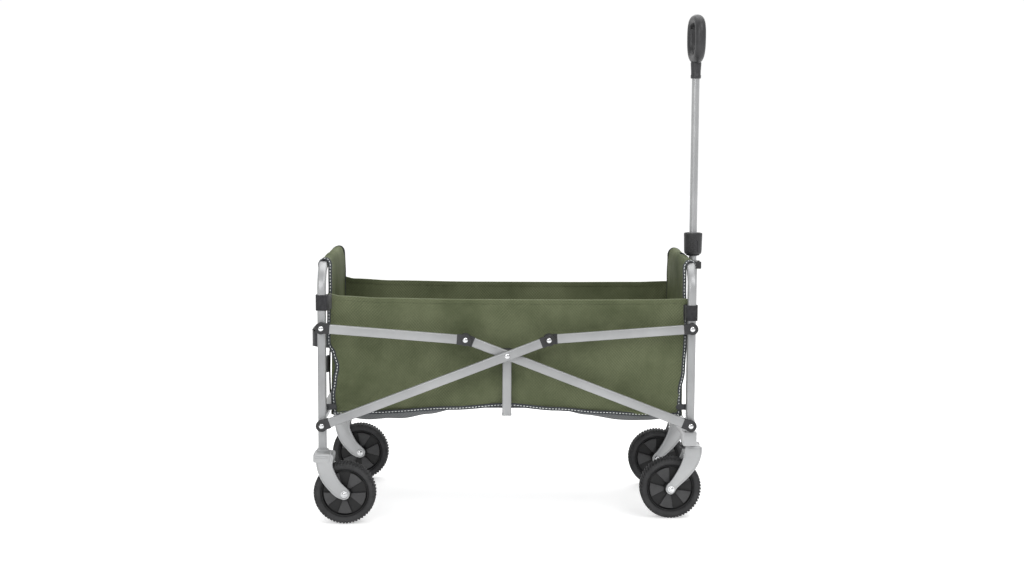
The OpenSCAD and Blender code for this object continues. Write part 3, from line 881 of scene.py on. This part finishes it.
def arch_at(t):
    """Angle and height along the finger grip's arch: up one side, over, and down the other."""
    rise, crest = 0.3, math.pi * (t - 0.3) / 0.4
    turn = math.radians(27)
    if t < rise:
        return turn, 0.639 + 0.025 * t / rise
    if t > 1 - rise:
        return -turn, 0.639 + 0.025 * (1 - t) / rise
    return turn * math.cos(crest), 0.664 + 0.0085 * math.sin(crest)


def on_sleeve(bm, s, line, lift, sec):
    """A raised bead on the sleeve's left (s = 1) or right side, through (angle, height) points."""
    pts = []
    for turn, z in line:
        r = sleeve_r(z) + lift
        pts.append(V((HX + r * math.sin(turn), s * r * math.cos(turn), z)))
    ribbon_bm(bm, pts, [V((p.x - HX, p.y, 0)).normalized() for p in pts], sec)


for s in (-1, 1):
    on_sleeve(bm, s, [arch_at(i / 24) for i in range(25)], 0.0002, osec(0.0011, 0.001, 8))
    for k in range(5):
        rib = [(math.radians(-15 + 3 * j), 0.643 + k * 0.005) for j in range(11)]
        on_sleeve(bm, s, rib, 0.0001, osec(0.001, 0.0009, 8))
put("lock_sleeve.shape", bm, BLACK, 35, "lock", "plastic", "lock_sleeve")
bm = bmesh.new()
lathe_bm(bm, mm((0, 592), (9, 592), (9.5, 592.6), (9.5, 1083.5), (0, 1083.5)), UP, ROOT, 48)
put("handle_rod.shape", bm, ROD, 35, "rod", "tube", "handle_rod")

# loop grip: neck flare, soft oval loop in the Y-Z plane, finger ribs on the inside of its top bar
bm = bmesh.new()
neck = mm((9.6, 1072.2), (11.8, 1072.2), (12.8, 1073.4), (13, 1080), (12.2, 1081.5), (12.2, 1090),
          (12.8, 1100), (13.5, 1109), (12.5, 1116), (9.6, 1116))
closed_profile(bm, neck, UP, ROOT, 40)
LOOP_Z = 1.17


def rounded(c, power):
    """A cosine or sine pushed towards its ends, which turns a circle into a soft box."""
    return math.copysign(abs(c) ** power, c)


loop, scales = [], []
for i in range(72):
    a = math.pi * i / 36
    c, s = math.cos(a), math.sin(a)
    y = 0.0455 * rounded(c, 2 / 2.7) * (1 - 0.1 * (0.5 - s / 2))
    loop.append((HX, y, LOOP_Z + 0.0485 * rounded(s, 2 / 2.7)))
    scales.append((1.0 + 0.1 * max(0, -s) ** 3, 1.0))
sweep_bm(bm, loop, osec(0.0118, 0.0132, 20), (1, 0, 0), closed=True, scales=scales)
turn_grip = Matrix.Rotation(math.radians(7), 4, "Z")
turn_grip = Matrix.Translation(ROOT) @ turn_grip @ Matrix.Translation((-HX, 0, 0))
ribs = bmesh.new()
for j in range(13):
    a = math.radians(38 + 104 * j / 12)
    y, z = 0.0355 * rounded(math.cos(a), 0.74), LOOP_Z + 0.0385 * math.sin(a) ** 0.74
    low = [(HX + e * 0.005, y * 0.985, z - 0.0012) for e in (-1, 1)]
    sweep_bm(ribs, [(HX - 0.0092, y, z)] + low + [(HX + 0.0092, y, z)], osec(0.0012, 0.0016, 8), (0, 1, 0))
for name, mesh, nodes in (("handle_grip.shape", bm, ["handle_grip"]), ("grip_ribs", ribs, [])):
    o = obj_from_bm(name, mesh, GRIPM, 50)
    o.data.transform(turn_grip)
    place(o, "rod", "plastic", *nodes)
soften("handle_clip", BLACK, 0.0016)


# ---------------------------------------------------------------- fabric
def lerp(table, x):
    """Smooth interpolation in a list of (x, value)."""
    if x <= table[0][0]:
        return table[0][1]
    for (x0, y0), (x1, y1) in zip(table, table[1:]):
        if x <= x1:
            t = (x - x0) / (x1 - x0)
            t = t * t * (3 - 2 * t)
            return y0 + (y1 - y0) * t
    return table[-1][1]


TOP = [(-0.43, 0.551), (-0.4, 0.5455), (-0.3, 0.541), (-0.1, 0.5385), (0.15, 0.5385), (0.34, 0.5395),
       (0.43, 0.542)]
BOTTOM = [(-0.43, 0.256), (-0.33, 0.258), (-0.13, 0.269), (0.0, 0.2775), (0.12, 0.268), (0.23, 0.26),
          (0.33, 0.2555), (0.43, 0.255)]
REAR_EDGE = [(0.25, -0.4195), (0.305, -0.4235), (0.34, -0.4185), (0.375, -0.4125), (0.405, -0.4205),
             (0.427, -0.4335), (0.507, -0.433), (0.55, -0.432)]
FRONT_EDGE = [(0.25, 0.4215), (0.32, 0.4215), (0.369, 0.43), (0.44, 0.4335), (0.55, 0.4345)]
NX, NZ = 150, 52


def grid_mesh(name, nx, nz, fn):
    me = bpy.data.meshes.new(name)
    vs = [fn(i / nx, j / nz) for j in range(nz + 1) for i in range(nx + 1)]
    up = nx + 1
    corners = [j * up + i for j in range(nz) for i in range(nx)]
    me.from_pydata([tuple(v) for v in vs], [], [(c, c + 1, c + up + 1, c + up) for c in corners])
    me.update()
    o = bpy.data.objects.new(name, me)
    bpy.context.scene.collection.objects.link(o)
    return o


def side_point(a, b):
    z0 = 0.255 + 0.29 * b
    x0, x1 = lerp(REAR_EDGE, z0), lerp(FRONT_EDGE, z0)
    x = x0 + (x1 - x0) * a
    zb, zt = lerp(BOTTOM, x), lerp(TOP, x)
    return V((x, 0, zb + (zt - zb) * b))


def simulate_sheet(o, pinned, grow, frames, soft):
    """Lets a slightly oversize sheet buckle between its held edges, and applies the result."""
    g = o.vertex_groups.new(name="pin")
    g.add(pinned, 1.0, "REPLACE")
    g.add([i for i in soft if i not in set(pinned)], 0.25, "REPLACE")
    m = o.modifiers.new("cloth", "CLOTH")
    s = m.settings
    s.quality = 6
    s.mass = 0.25
    s.air_damping = 2
    s.tension_stiffness = s.compression_stiffness = 40
    s.shear_stiffness = 12
    s.bending_stiffness = 1.6
    s.bending_damping = 2
    s.vertex_group_mass = "pin"
    s.pin_stiffness = 1
    s.shrink_min = -grow
    m.collision_settings.use_collision = False
    m.collision_settings.use_self_collision = False
    m.point_cache.frame_start = 1
    m.point_cache.frame_end = frames
    sc = bpy.context.scene
    for f in range(1, frames + 1):
        sc.frame_set(f)
    applied(o)
    o.vertex_groups.clear()
    sc.frame_set(1)


def side_panel(side):
    """One side of the tub: held at its top tape, floor edge and corners, slack between them."""
    y = side * TUB_Y
    local = random.Random(11 if side > 0 else 23)
    ph = [local.uniform(0, 6.28) for _ in range(8)]

    def fn(a, b):
        p = side_point(a, b)
        k = math.sin(math.pi * b) ** 0.7
        w = 0.0012 * math.sin(p.x * 31 + ph[0] + 2.0 * b) + 0.001 * math.sin(p.x * 58 + p.z * 26 + ph[1])
        w += 0.0006 * math.sin(p.x * 97 - p.z * 41 + ph[2])
        return V((p.x, y + side * k * w, p.z))

    o = grid_mesh(f"side_panel_{'left' if side > 0 else 'right'}.cloth", NX, NZ, fn)
    rest = [v.co.copy() for v in o.data.vertices]
    row = NX + 1
    held = [j * row for j in range(0, NZ + 1) if j > NZ * 0.8 or j < 4]
    pins = [i for i in range(row)] + [NZ * row + i for i in range(row)]
    pins += held + [i + NX for i in held]
    soft = [j * row + c for j in range(NZ + 1) for c in (0, 1, NX - 1, NX)]
    soft += [j * row + c for j in range(NZ + 1) for c in range(NX // 2 - 1, NX // 2 + 2)]
    simulate_sheet(o, pins, 0.01, 26, soft)
    for v, r in zip(o.data.vertices, rest):
        d = (v.co.y - y) * side
        # nothing stands further out than the tubes allow, or further in than the floor boards
        d = 0.002 * math.tanh(d / 0.002) if d > 0 else -0.0085 * math.tanh(-d / 0.0085)
        x, z = [r[i] + max(-0.003, min(0.003, v.co[i] - r[i])) for i in (0, 2)]
        v.co = V((x, y + side * d, z))
    return o


def line_of(o, ids):
    return [o.data.vertices[i].co.copy() for i in ids]


def resample(line, step):
    out, carry = [line[0].copy()], 0.0
    for a, b in zip(line, line[1:]):
        d = (b - a).length
        s = step - carry
        while s <= d:
            out.append(a.lerp(b, s / d))
            s += step
        carry = (carry + d) % step if d < step - carry else d - (s - step)
    return out


def stitches(bm, line, lift, pitch=0.0062, length=0.0038, width=0.00062):
    """A row of separate raised stitches along a line, lifted off the cloth."""
    pts = resample(line, pitch)
    lift = V(lift)
    n = lift.normalized()
    for a, b in zip(pts, pts[1:]):
        if (b - a).length < 1e-5:
            continue
        d, p = (b - a).normalized(), a + lift
        steps = ((0, -0.0004), (0.25, 0.0002), (0.75, 0.0002), (1, -0.0004))
        sweep_bm(bm, [p + d * length * t + n * up for t, up in steps], osec(width, 0.00045, 6), n)


def tape(bm, line, normal):
    sweep_bm(bm, resample(line, 0.006), rsec(TAPE_W, TAPE_T, TAPE_T * 0.45, 3), normal)


def thicken(o, t, mat):
    m = o.modifiers.new("solid", "SOLIDIFY")
    m.thickness = t
    m.offset = 0.0
    applied(o)
    o.data.materials.clear()
    o.data.materials.append(mat)
    o.data.shade_smooth()
    o.data.set_sharp_from_angle(angle=math.radians(60))


def moved(line, x, y, z):
    """A line shifted as a whole."""
    return [p + V((x, y, z)) for p in line]


ACROSS = (0, 1, 0)
for side, tag in ((1, "left"), (-1, "right")):
    o = side_panel(side)
    # the far side takes the lighter copy of the canvas: painted light
    cloth = CANVAS if side < 0 else CANVAS_FAR_PAINTED_LIGHT
    row = NX + 1
    top = line_of(o, [NZ * row + i for i in range(row)])
    bottom = line_of(o, range(row))
    rear = line_of(o, [j * row for j in range(NZ + 1)])
    front = line_of(o, [j * row + NX for j in range(NZ + 1)])
    thicken(o, CLOTH, cloth)
    place(o, "rear_frame", "canvas", "side_panel_" + tag)
    bm, st, hem, band, seam = [bmesh.new() for _ in range(5)]
    for ln in (moved(bottom, 0, 0, 0.0038), moved(rear[:-3], 0.0038, 0, 0), moved(front[:-3], -0.0038, 0, 0)):
        tape(bm, ln, ACROSS)
        for f in (-1, 1):
            stitches(st, ln, (0, f * 0.0017, 0), 0.0078, 0.0046, 0.0008)
    # the top edge is turned over a cord of its own cloth, with a band and a seam below it on both faces
    sweep_bm(hem, resample(moved(top, 0, 0, -0.0008), 0.006), osec(0.0018, 0.0021, 12), ACROSS)
    for f in (-1, 1):
        middle = resample(moved(top, 0, f * 0.0005, -0.0062), 0.006)
        sweep_bm(band, middle, rsec(0.0102, CLOTH, 0.0006, 2), ACROSS)
        stitches(seam, moved(top, 0, 0, -0.0104), (0, f * 0.0012, 0), 0.0056, 0.0038, 0.0004)
    b5 = put(f"side_hem_band_{tag}", band, cloth, 50, "rear_frame", "canvas")
    # the cord takes the lighter hem colour: painted light
    b4 = put(f"side_hem_{tag}", hem, HEM_PAINTED_LIGHT, 50, "rear_frame", "canvas")
    b1 = put(f"side_binding_{tag}", bm, BINDING, 50, "rear_frame", "webbing")
    b2 = put(f"side_stitches_{tag}", st, THREAD, 60, "rear_frame", "webbing")
    b3 = put(f"side_hem_seam_{tag}", seam, cloth, 60, "rear_frame", "canvas")
    for b in (o, b1, b2, b3, b4, b5):
        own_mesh(b)


def resample_n(line, nrms, step):
    """Even steps along a line that carries a normal at each point."""
    pts, ns, carry = [line[0].copy()], [nrms[0].copy()], 0.0
    for a, b, na, nb in zip(line, line[1:], nrms, nrms[1:]):
        d = (b - a).length
        at = step - carry
        while at <= d:
            pts.append(a.lerp(b, at / d))
            ns.append(na.lerp(nb, at / d).normalized())
            at += step
        carry = d - (at - step)
    return pts, ns


UPRIGHT = 44       # steps of an end panel below its turn over the hoop
WRAP_R = 0.0757    # the wrapped sheet's radius round a hoop's bend
STITCH = ((0, 0.0012), (0.0012, 0.0019), (0.0034, 0.0019), (0.0046, 0.0012))  # along, up


def end_panel(name, s, body, notch):
    """End of the tub: hangs inside the hoop, wraps over its top tube and ends in a short outside flap."""
    edge = FRONT_EDGE if notch else REAR_EDGE
    leg_y = FRONT_Y if notch else REAR_Y
    xi, xc, zc = s * (0.4323 if notch else 0.4312), s * 0.4425, 0.6188
    # side view of the sheet: straight up inside the hoop, a quarter turn, a quarter turn more, a short flap
    prof = [(xi, 0.256 + 0.008 * i) for i in range(UPRIGHT + 1)]
    turns = [math.radians(a) for a in range(0, 91, 10)]
    r = 0.0137
    curve = [(math.cos(a), math.sin(a)) for a in turns]
    prof += [(xc - s * (0.0113 * c + 0.001 * d), zc + r * d) for c, d in curve]
    prof += [(xc + s * (0.0134 * d - 0.001 * c), zc + r * c) for c, d in curve[1:]]
    prof += [(xc + s * 0.0134, zc - 0.0045 * i) for i in range(1, 4)]
    run = [0.0]
    for (x0, z0), (x1, z1) in zip(prof, prof[1:]):
        run.append(run[-1] + math.hypot(x1 - x0, z1 - z0))
    arc0 = run[UPRIGHT]
    # the sheet is cut back round the hoop's bends, so they stay bare
    width = [(arc0 - 0.075, 0.1945), (arc0 - 0.03, 0.1905), (arc0, 0.185), (arc0 + 0.02, 0.1785)]
    width += [(arc0 + 0.034, 0.169 if notch else 0.176), (run[-1], 0.156 if notch else 0.172)]
    strip_width = [(arc0 - 0.004, 1.0), (arc0 + 0.02, 0.42), (arc0 + 0.036, 0.06)]
    n, my = len(prof) - 1, 120
    ph = rng.uniform(0, 6.28)

    def fn(a, b):
        j = min(n, round(b * n))
        x, z = prof[j]
        upright = j <= UPRIGHT
        half = lerp(width, run[j])
        lip = 0.0062 * lerp(strip_width, run[j])
        # low down the strip ends at the side panel's edge, where the two are sewn together
        sewn = max(0.0, abs(xi) - abs(lerp(edge, z)) + 0.0048) * lerp([(0.425, 1.0), (0.465, 0.0)], z)
        if not upright:
            sewn = 0.0
        strip = max(0.0012, abs(lip - sewn))
        e = abs(2 * a - 1)
        q = (half + strip) * (1 - e)
        t = min(1.0, q / (strip + 0.004))
        turned = sewn + (lip - sewn) * (1 - (1 - t) ** 1.6)
        y = math.copysign(half - max(0.0, q - strip) - 0.0009 * min(1.0, q / 0.006), 2 * a - 1)
        # over the hoop's bends the sheet drops with the tube
        d = abs(y) - (leg_y + 0.01 - BEND_R)
        if d > 0:
            fade = min(1.0, max(0.0, (run[j] - (arc0 - 0.075)) / 0.075))
            z -= (WRAP_R - math.sqrt(max(0.0, WRAP_R ** 2 - d * d))) * fade
        away = V((-s, 0)) if upright else V((x - s * HALF, z - HOOP_Z)).normalized()
        x, z = x + away.x * turned, z + away.y * turned
        if upright:
            k = math.sin(math.pi * min(1, (z - 0.256) / 0.366)) * (1 - e ** 8)
            w = 0.0024 * math.sin(y * 21 + ph + z * 9) + 0.0018 * math.sin(z * 34 + y * 13 + ph)
            w += 0.0014 * math.sin(y * 55 - z * 20)
            # folds that fan down from the top corners
            near_top = math.exp(-((z - 0.56) / 0.05) ** 2) * e ** 2
            fan = 0.0016 * math.sin(abs(y) * 150 + (z - 0.6) * 60) * near_top
            more = max(-0.001, k * (0.001 + 0.6 * w)) + max(0.0, 0.7 * fan)
            x -= s * min(more, max(0.0, 0.009 - turned))
        else:
            x += s * 0.0003 * math.sin(y * 60 + ph)
            z += 0.0006 * math.sin(y * 44 + ph)
        return V((x, y, z))

    o = grid_mesh(name + ".cloth", my, n, fn)
    if notch:
        bmx = bmesh.new()
        bmx.from_mesh(o.data)
        # the notch takes the middle of the sleeve, outside the inner panel's top edge
        mids = [(f, f.calc_center_median()) for f in bmx.faces]
        gone = [f for f, c in mids if abs(c.y) < 0.0235 and (c.x - xi) * s > 0.004]
        bmesh.ops.delete(bmx, geom=gone, context="FACES")
        bmx.to_mesh(o.data)
        bmx.free()

    def at(i, j):
        return fn(i / my, j / n)

    def outward(i, j):
        """Surface normal on the side away from the tub's middle and the tube."""
        du = at(min(i + 1, my), j) - at(max(i - 1, 0), j)
        dv = at(i, min(j + 1, n)) - at(i, max(j - 1, 0))
        m = du.cross(dv).normalized()
        sgn = 1 if i > my / 2 else -1
        want = V((-s * 0.3, sgn, 0.0))
        if j > UPRIGHT:
            want = V((prof[j][0] - s * HALF, sgn * 0.004, prof[j][1] - HOOP_Z))
        return m if m.dot(want) > 0 else -m

    thicken(o, CLOTH, CANVAS_END)
    place(o, body, "canvas", name)
    bm, st = bmesh.new(), bmesh.new()
    for i0, inner in ((0, 1), (my, my - 1)):
        ln, ns = [], []
        for j in range(n + 1):
            p, q = at(i0, j), at(inner, j)
            ln.append(p + (q - p).normalized() * 0.0036)
            ns.append(outward(i0, j))
        pts, nn = resample_n(ln, ns, 0.004)
        ribbon_bm(bm, pts, nn, rsec(0.0088, 0.003, 0.0013, 3))
        pts, nn = resample_n(ln, ns, 0.0078)
        for p, q, m in zip(pts, pts[1:], nn):
            d = (q - p).normalized()
            for w in (-m, m):
                thread_line = [p + d * t + w * up for t, up in STITCH]
                sweep_bm(st, thread_line, osec(0.0008, 0.00045, 6), m)
    tape(bm, [at(i, 0) + V((0, 0, 0.0038)) for i in range(my + 1)], (1, 0, 0))
    fl = [at(i, n) + V((0, 0, 0.003)) for i in range(my + 1)]
    segs = [[p for p in fl if p.y < -0.025], [p for p in fl if p.y > 0.025]] if notch else [fl]
    for sg in segs:
        sweep_bm(bm, sg, rsec(0.0074, 0.0028, 0.0012, 3), (1, 0, 0))
        stitches(st, sg, (s * 0.0015, 0, 0), 0.0072, 0.0044, 0.0007)
    if notch:
        side = 0.0243
        over = [(x, z) for x, z in prof if (x - xi) * s > 0.003 and z > zc - 0.02]
        outs = [V((x - HALF * s, 0, z - 0.617)).normalized() for x, z in over]
        for sy in (-1, 1):
            ribbon_bm(bm, [V((x, sy * side, z)) for x, z in over], outs, rsec(0.0072, 0.0032, 0.0013, 3))
        line = [V((xi + s * 0.0042, -side + 0.00347 * i, zc + 0.0108)) for i in range(15)]
        sweep_bm(bm, line, rsec(0.006, 0.0034, 0.0012, 3), (0, 0, 1))
    b1 = put(name + ".binding", bm, BINDING, 50, body, "webbing")
    b2 = put(name + ".stitches", st, THREAD, 60, body, "webbing")


end_panel("rear_end_panel", -1, "rear_frame", False)
end_panel("front_end_panel", 1, "front_frame", True)


LIN = [(0.0, 0.2737), (0.09, 0.2728), (0.13, 0.2672), (0.19, 0.255), (0.27, 0.244), (0.34, 0.241),
       (0.395, 0.247), (0.418, 0.256)]


LINING_Y = 0.1955


def underside():
    """Grey lining under the floor: tight at the middle, hanging a little below the tub near both ends."""
    def fn(a, b):
        x = ROD_X * (2 * a - 1)
        y = LINING_Y * (2 * b - 1)
        side = min(1.0, (LINING_Y - abs(y)) / 0.018)
        side = side * side * (3 - 2 * side)
        edge = lerp(BOTTOM, x) + 0.003
        z = edge + (lerp(LIN, abs(x)) - edge) * side
        loose = side * min(1.0, abs(x) / 0.15)
        z -= loose * (0.001 + 0.0009 * math.sin(x * 37 + y * 14) + 0.0007 * math.sin(x * 71 - y * 33))
        return V((x, y, min(z, 0.2737)))
    o = grid_mesh("tub_lining", 120, 50, fn)
    thicken(o, 0.0012, LINING)
    place(o, "rear_frame", "canvas")
    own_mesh(o)


underside()


def two_sided(nx, ny, surface):
    """A closed soft slab from its upper (1) and lower (-1) surface functions."""
    bm = bmesh.new()
    for sign in (-1, 1):
        t = grid_mesh("t", nx, ny, surface(sign))
        bm.from_mesh(t.data)
        bpy.data.objects.remove(t)
    bmesh.ops.remove_doubles(bm, verts=bm.verts, dist=2e-5)
    return bm


def edge_round(e, r):
    """Height share of a rounded rim at the distance e from the edge."""
    k = min(1.0, e / r)
    return math.sqrt(max(0.0, 1 - (1 - k) ** 2)), k


def floor_piece(name, x0, x1, body, barrel):
    """A stiff board sewn into canvas: soft rounded slab, stitched border, and its sleeve round the rod."""
    zc, ht = FLOOR_Z, 0.003

    def slab(sign):
        def fn(a, b):
            x, y = x0 + (x1 - x0) * a, BOARD_Y * (2 * b - 1)
            e = min(a * abs(x1 - x0), (1 - a) * abs(x1 - x0), BOARD_Y - abs(y))
            rim, k = edge_round(e, 0.006)
            wave = 0.0004 * math.sin(x * 60 + y * 22) + 0.0003 * math.sin(y * 90 - x * 31)
            h = (ht - 0.0002) * rim + wave * k
            groove = -0.0005 * math.exp(-((e - 0.011) / 0.0012) ** 2)
            return V((x, y, zc + sign * (h + groove)))
        return fn
    bm = two_sided(70, 76, slab)
    end = mm((4.1, -186), (7.2, -186), (7.8, -184))
    closed_profile(bm, end + [(r, -y) for r, y in end[::-1]], (0, 1, 0), (barrel, 0, zc), 28)
    o = put(name + ".cover", bm, CANVAS_FLOOR, 60, body, "floor", name)
    st = bmesh.new()
    lo, hi = min(x0, x1) + 0.011, max(x0, x1) - 0.015
    ring = [V((lo, -0.1765, 0)), V((hi, -0.1765, 0)), V((hi, 0.1765, 0)), V((lo, 0.1765, 0))]
    for p, q in zip(ring, ring[1:] + ring[:1]):
        line = [p.lerp(q, i / 40) + V((0, 0, zc + ht - 0.0004)) for i in range(41)]
        stitches(st, line, (0, 0, 0.0003), 0.0068, 0.0042, 0.0005)
    put(name + ".stitches", st, THREAD, 60, body, "floor")
    return o


floor_piece("floor_board_rear", -0.411, -0.0735, "rear_board", -ROD_X)
floor_piece("floor_board_front", 0.411, 0.0735, "front_board", ROD_X)


def floor_centre():
    """Soft quilted strip between the boards."""
    half = 0.0712

    def surface(sign):
        def fn(a, b):
            x, y = half * (2 * a - 1), BOARD_Y * (2 * b - 1)
            rim, _ = edge_round(min(half - abs(x), BOARD_Y - abs(y)), 0.008)
            h = 0.0028 * rim * (0.8 + 0.2 * abs(math.cos(math.pi * y / 0.094)))
            return V((x, y, 0.2766 + sign * h + 0.0004 * math.sin(x * 90 + y * 30)))
        return fn
    bm = two_sided(48, 90, surface)
    o = put("floor_centre.pad", bm, CANVAS_FLOOR, 60, "centre_frame", "floor", "floor_centre")
    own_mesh(o)


floor_centre()


def web_path(name, pts, normal, width, thick, body, node):
    o = sweep(name, pts, rsec(thick, width, thick * 0.45, 3), normal, STRAP, angle=50)
    return place(o, body, "webbing", node)


half = mm((-48, 0, 280.5), (-36, 0, 281.2), (-20, 0, 288))
line = smooth_path(half + mm((0, 0, 293.5)) + [(-x, y, z) for x, y, z in half[::-1]])
o = web_path("pull_loop.web", line, ACROSS, 0.028, 0.0016, "centre_frame", "pull_loop")
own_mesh(o)

# straps round the legs, with the tab that holds the tub's corner
STRAPS = (("rear_leg_straps", -1, REAR_Y, 0.533, "rear_frame", 0.0178),
          ("front_leg_straps", 1, FRONT_Y, 0.51, "front_frame", 0.015))
for name, s, ly, z, body, wide in STRAPS:
    bm, st = bmesh.new(), bmesh.new()
    for side in (-1, 1):
        # round the leg with a little slack at the back, then on to the panel's edge: (x from the leg
        # towards the wagon's end, y from the leg outwards)
        ring = [(0.0135, 0), (0.0125, 0.0085), (0.0075, 0.0107), (-0.006, 0.0107), (-0.013, 0.0092),
                (-wide, -0.004), (-wide - 0.0008, -0.0125), (0.0028 - wide, -0.0118), (-0.008, -0.0107),
                (0.007, -0.0107), (0.0125, -0.0085)]
        ring = [V((s * (HALF + u), side * (ly + v), z)) for u, v in ring]
        sweep_bm(bm, smooth_loop(ring, 4), rsec(0.0011, 0.0375, 0.0004, 2), (0, 0, 1), closed=True)
        x, y0 = s * (HALF - wide - 0.0002), side * (TUB_Y + 0.0022)
        tab = [(x, side * (ly - 0.01), z), (x - s * 0.001, side * (ly + TUB_Y) / 2, z)]
        tab += [(x - s * 0.003, y0, z)]
        sweep_bm(bm, smooth_path(tab, 4), rsec(0.0014, 0.0365, 0.0005, 2), (0, 0, 1))
        for dz in (-0.015, 0.015):
            seam = [V((s * HALF + dx, side * (ly + 0.0107), z + dz)) for dx in (-0.006, 0.006)]
            stitches(st, seam, (0, side * 0.0003, 0), 0.004, 0.0026, 0.0003)
    put(name + ".web", bm, STRAP, 50, body, "webbing", name)
    put(name + ".thread", st, STRAP, 50, body, "webbing")

# rear grab handle: flat webbing sewn to the panel, with a padded wrap in the middle
GRAB_Z = 0.423
half = mm((-435, -128), (-435.2, -112), (-438.5, -98), (-462, -84), (-479, -68), (-483.5, -48))
ctrl = [(x, y, GRAB_Z) for x, y in half + mm((-484.8, 0)) + [(x, -y) for x, y in half[::-1]]]
line = smooth_path(ctrl)
web_path("rear_grab_handle.web", line, (0, 0, 1), 0.038, 0.002, "rear_frame", "rear_grab_handle")
bm = bmesh.new()
steps = [-1 + i / 12 for i in range(25)]
line = [V((-0.4832 - 0.0014 * math.cos(t * math.pi / 2), 0.054 * t, GRAB_Z)) for t in steps]
swell = [min(1, (1 - abs(t)) / 0.15) for t in steps]
scales = [(0.55 + 0.45 * k, 0.93 + 0.07 * k) for k in swell]
sweep_bm(bm, line, rsec(0.0054, 0.044, 0.0026, 5), (0, 0, 1), scales=scales)
put("grab_handle_wrap", bm, STRAP, 50, "rear_frame", "webbing")
st = bmesh.new()
for z in (-0.0205, 0.0205):
    stitches(st, [p + V((-0.0025, 0, z * 0.96)) for p in line], (-0.0004, 0, 0), 0.006, 0.0038, 0.0005)
put("grab_handle_stitches", st, THREAD, 50, "rear_frame", "webbing")

# closing strap on the outside of the rear panel, with its side-release buckle
steps = [i / 30 for i in range(31)]
line = [V((-0.4335 - 0.001 * math.sin(t * math.pi), -0.135, 0.3 + 0.105 * t)) for t in steps]
web_path("closing_strap.web", line, ACROSS, 0.028, 0.0016, "rear_frame", "closing_strap")
soften("strap_buckle", BLACK, 0.0028)


# ---------------------------------------------------------------- floor under the wagon
def stage_floor():
    me = bpy.data.meshes.new("stage_floor")
    s = 14
    me.from_pydata([(-s, -s, 0), (s, -s, 0), (s, s, 0), (-s, s, 0)], [], [(0, 1, 2, 3)])
    o = bpy.data.objects.new("stage_floor", me)
    bpy.context.scene.collection.objects.link(o)
    m = Mat("stage", (0.9, 0.9, 0.9), 0.85)
    m.color(m.ramp(m.noise(3, 2), [(0.3, (0.8, 0.8, 0.8)), (0.7, (0.82, 0.82, 0.82))]))
    m.b.inputs["Emission Color"].default_value = (1, 1, 1, 1)
    m.b.inputs["Emission Strength"].default_value = 0.44
    me.materials.append(m.m)


stage_floor()
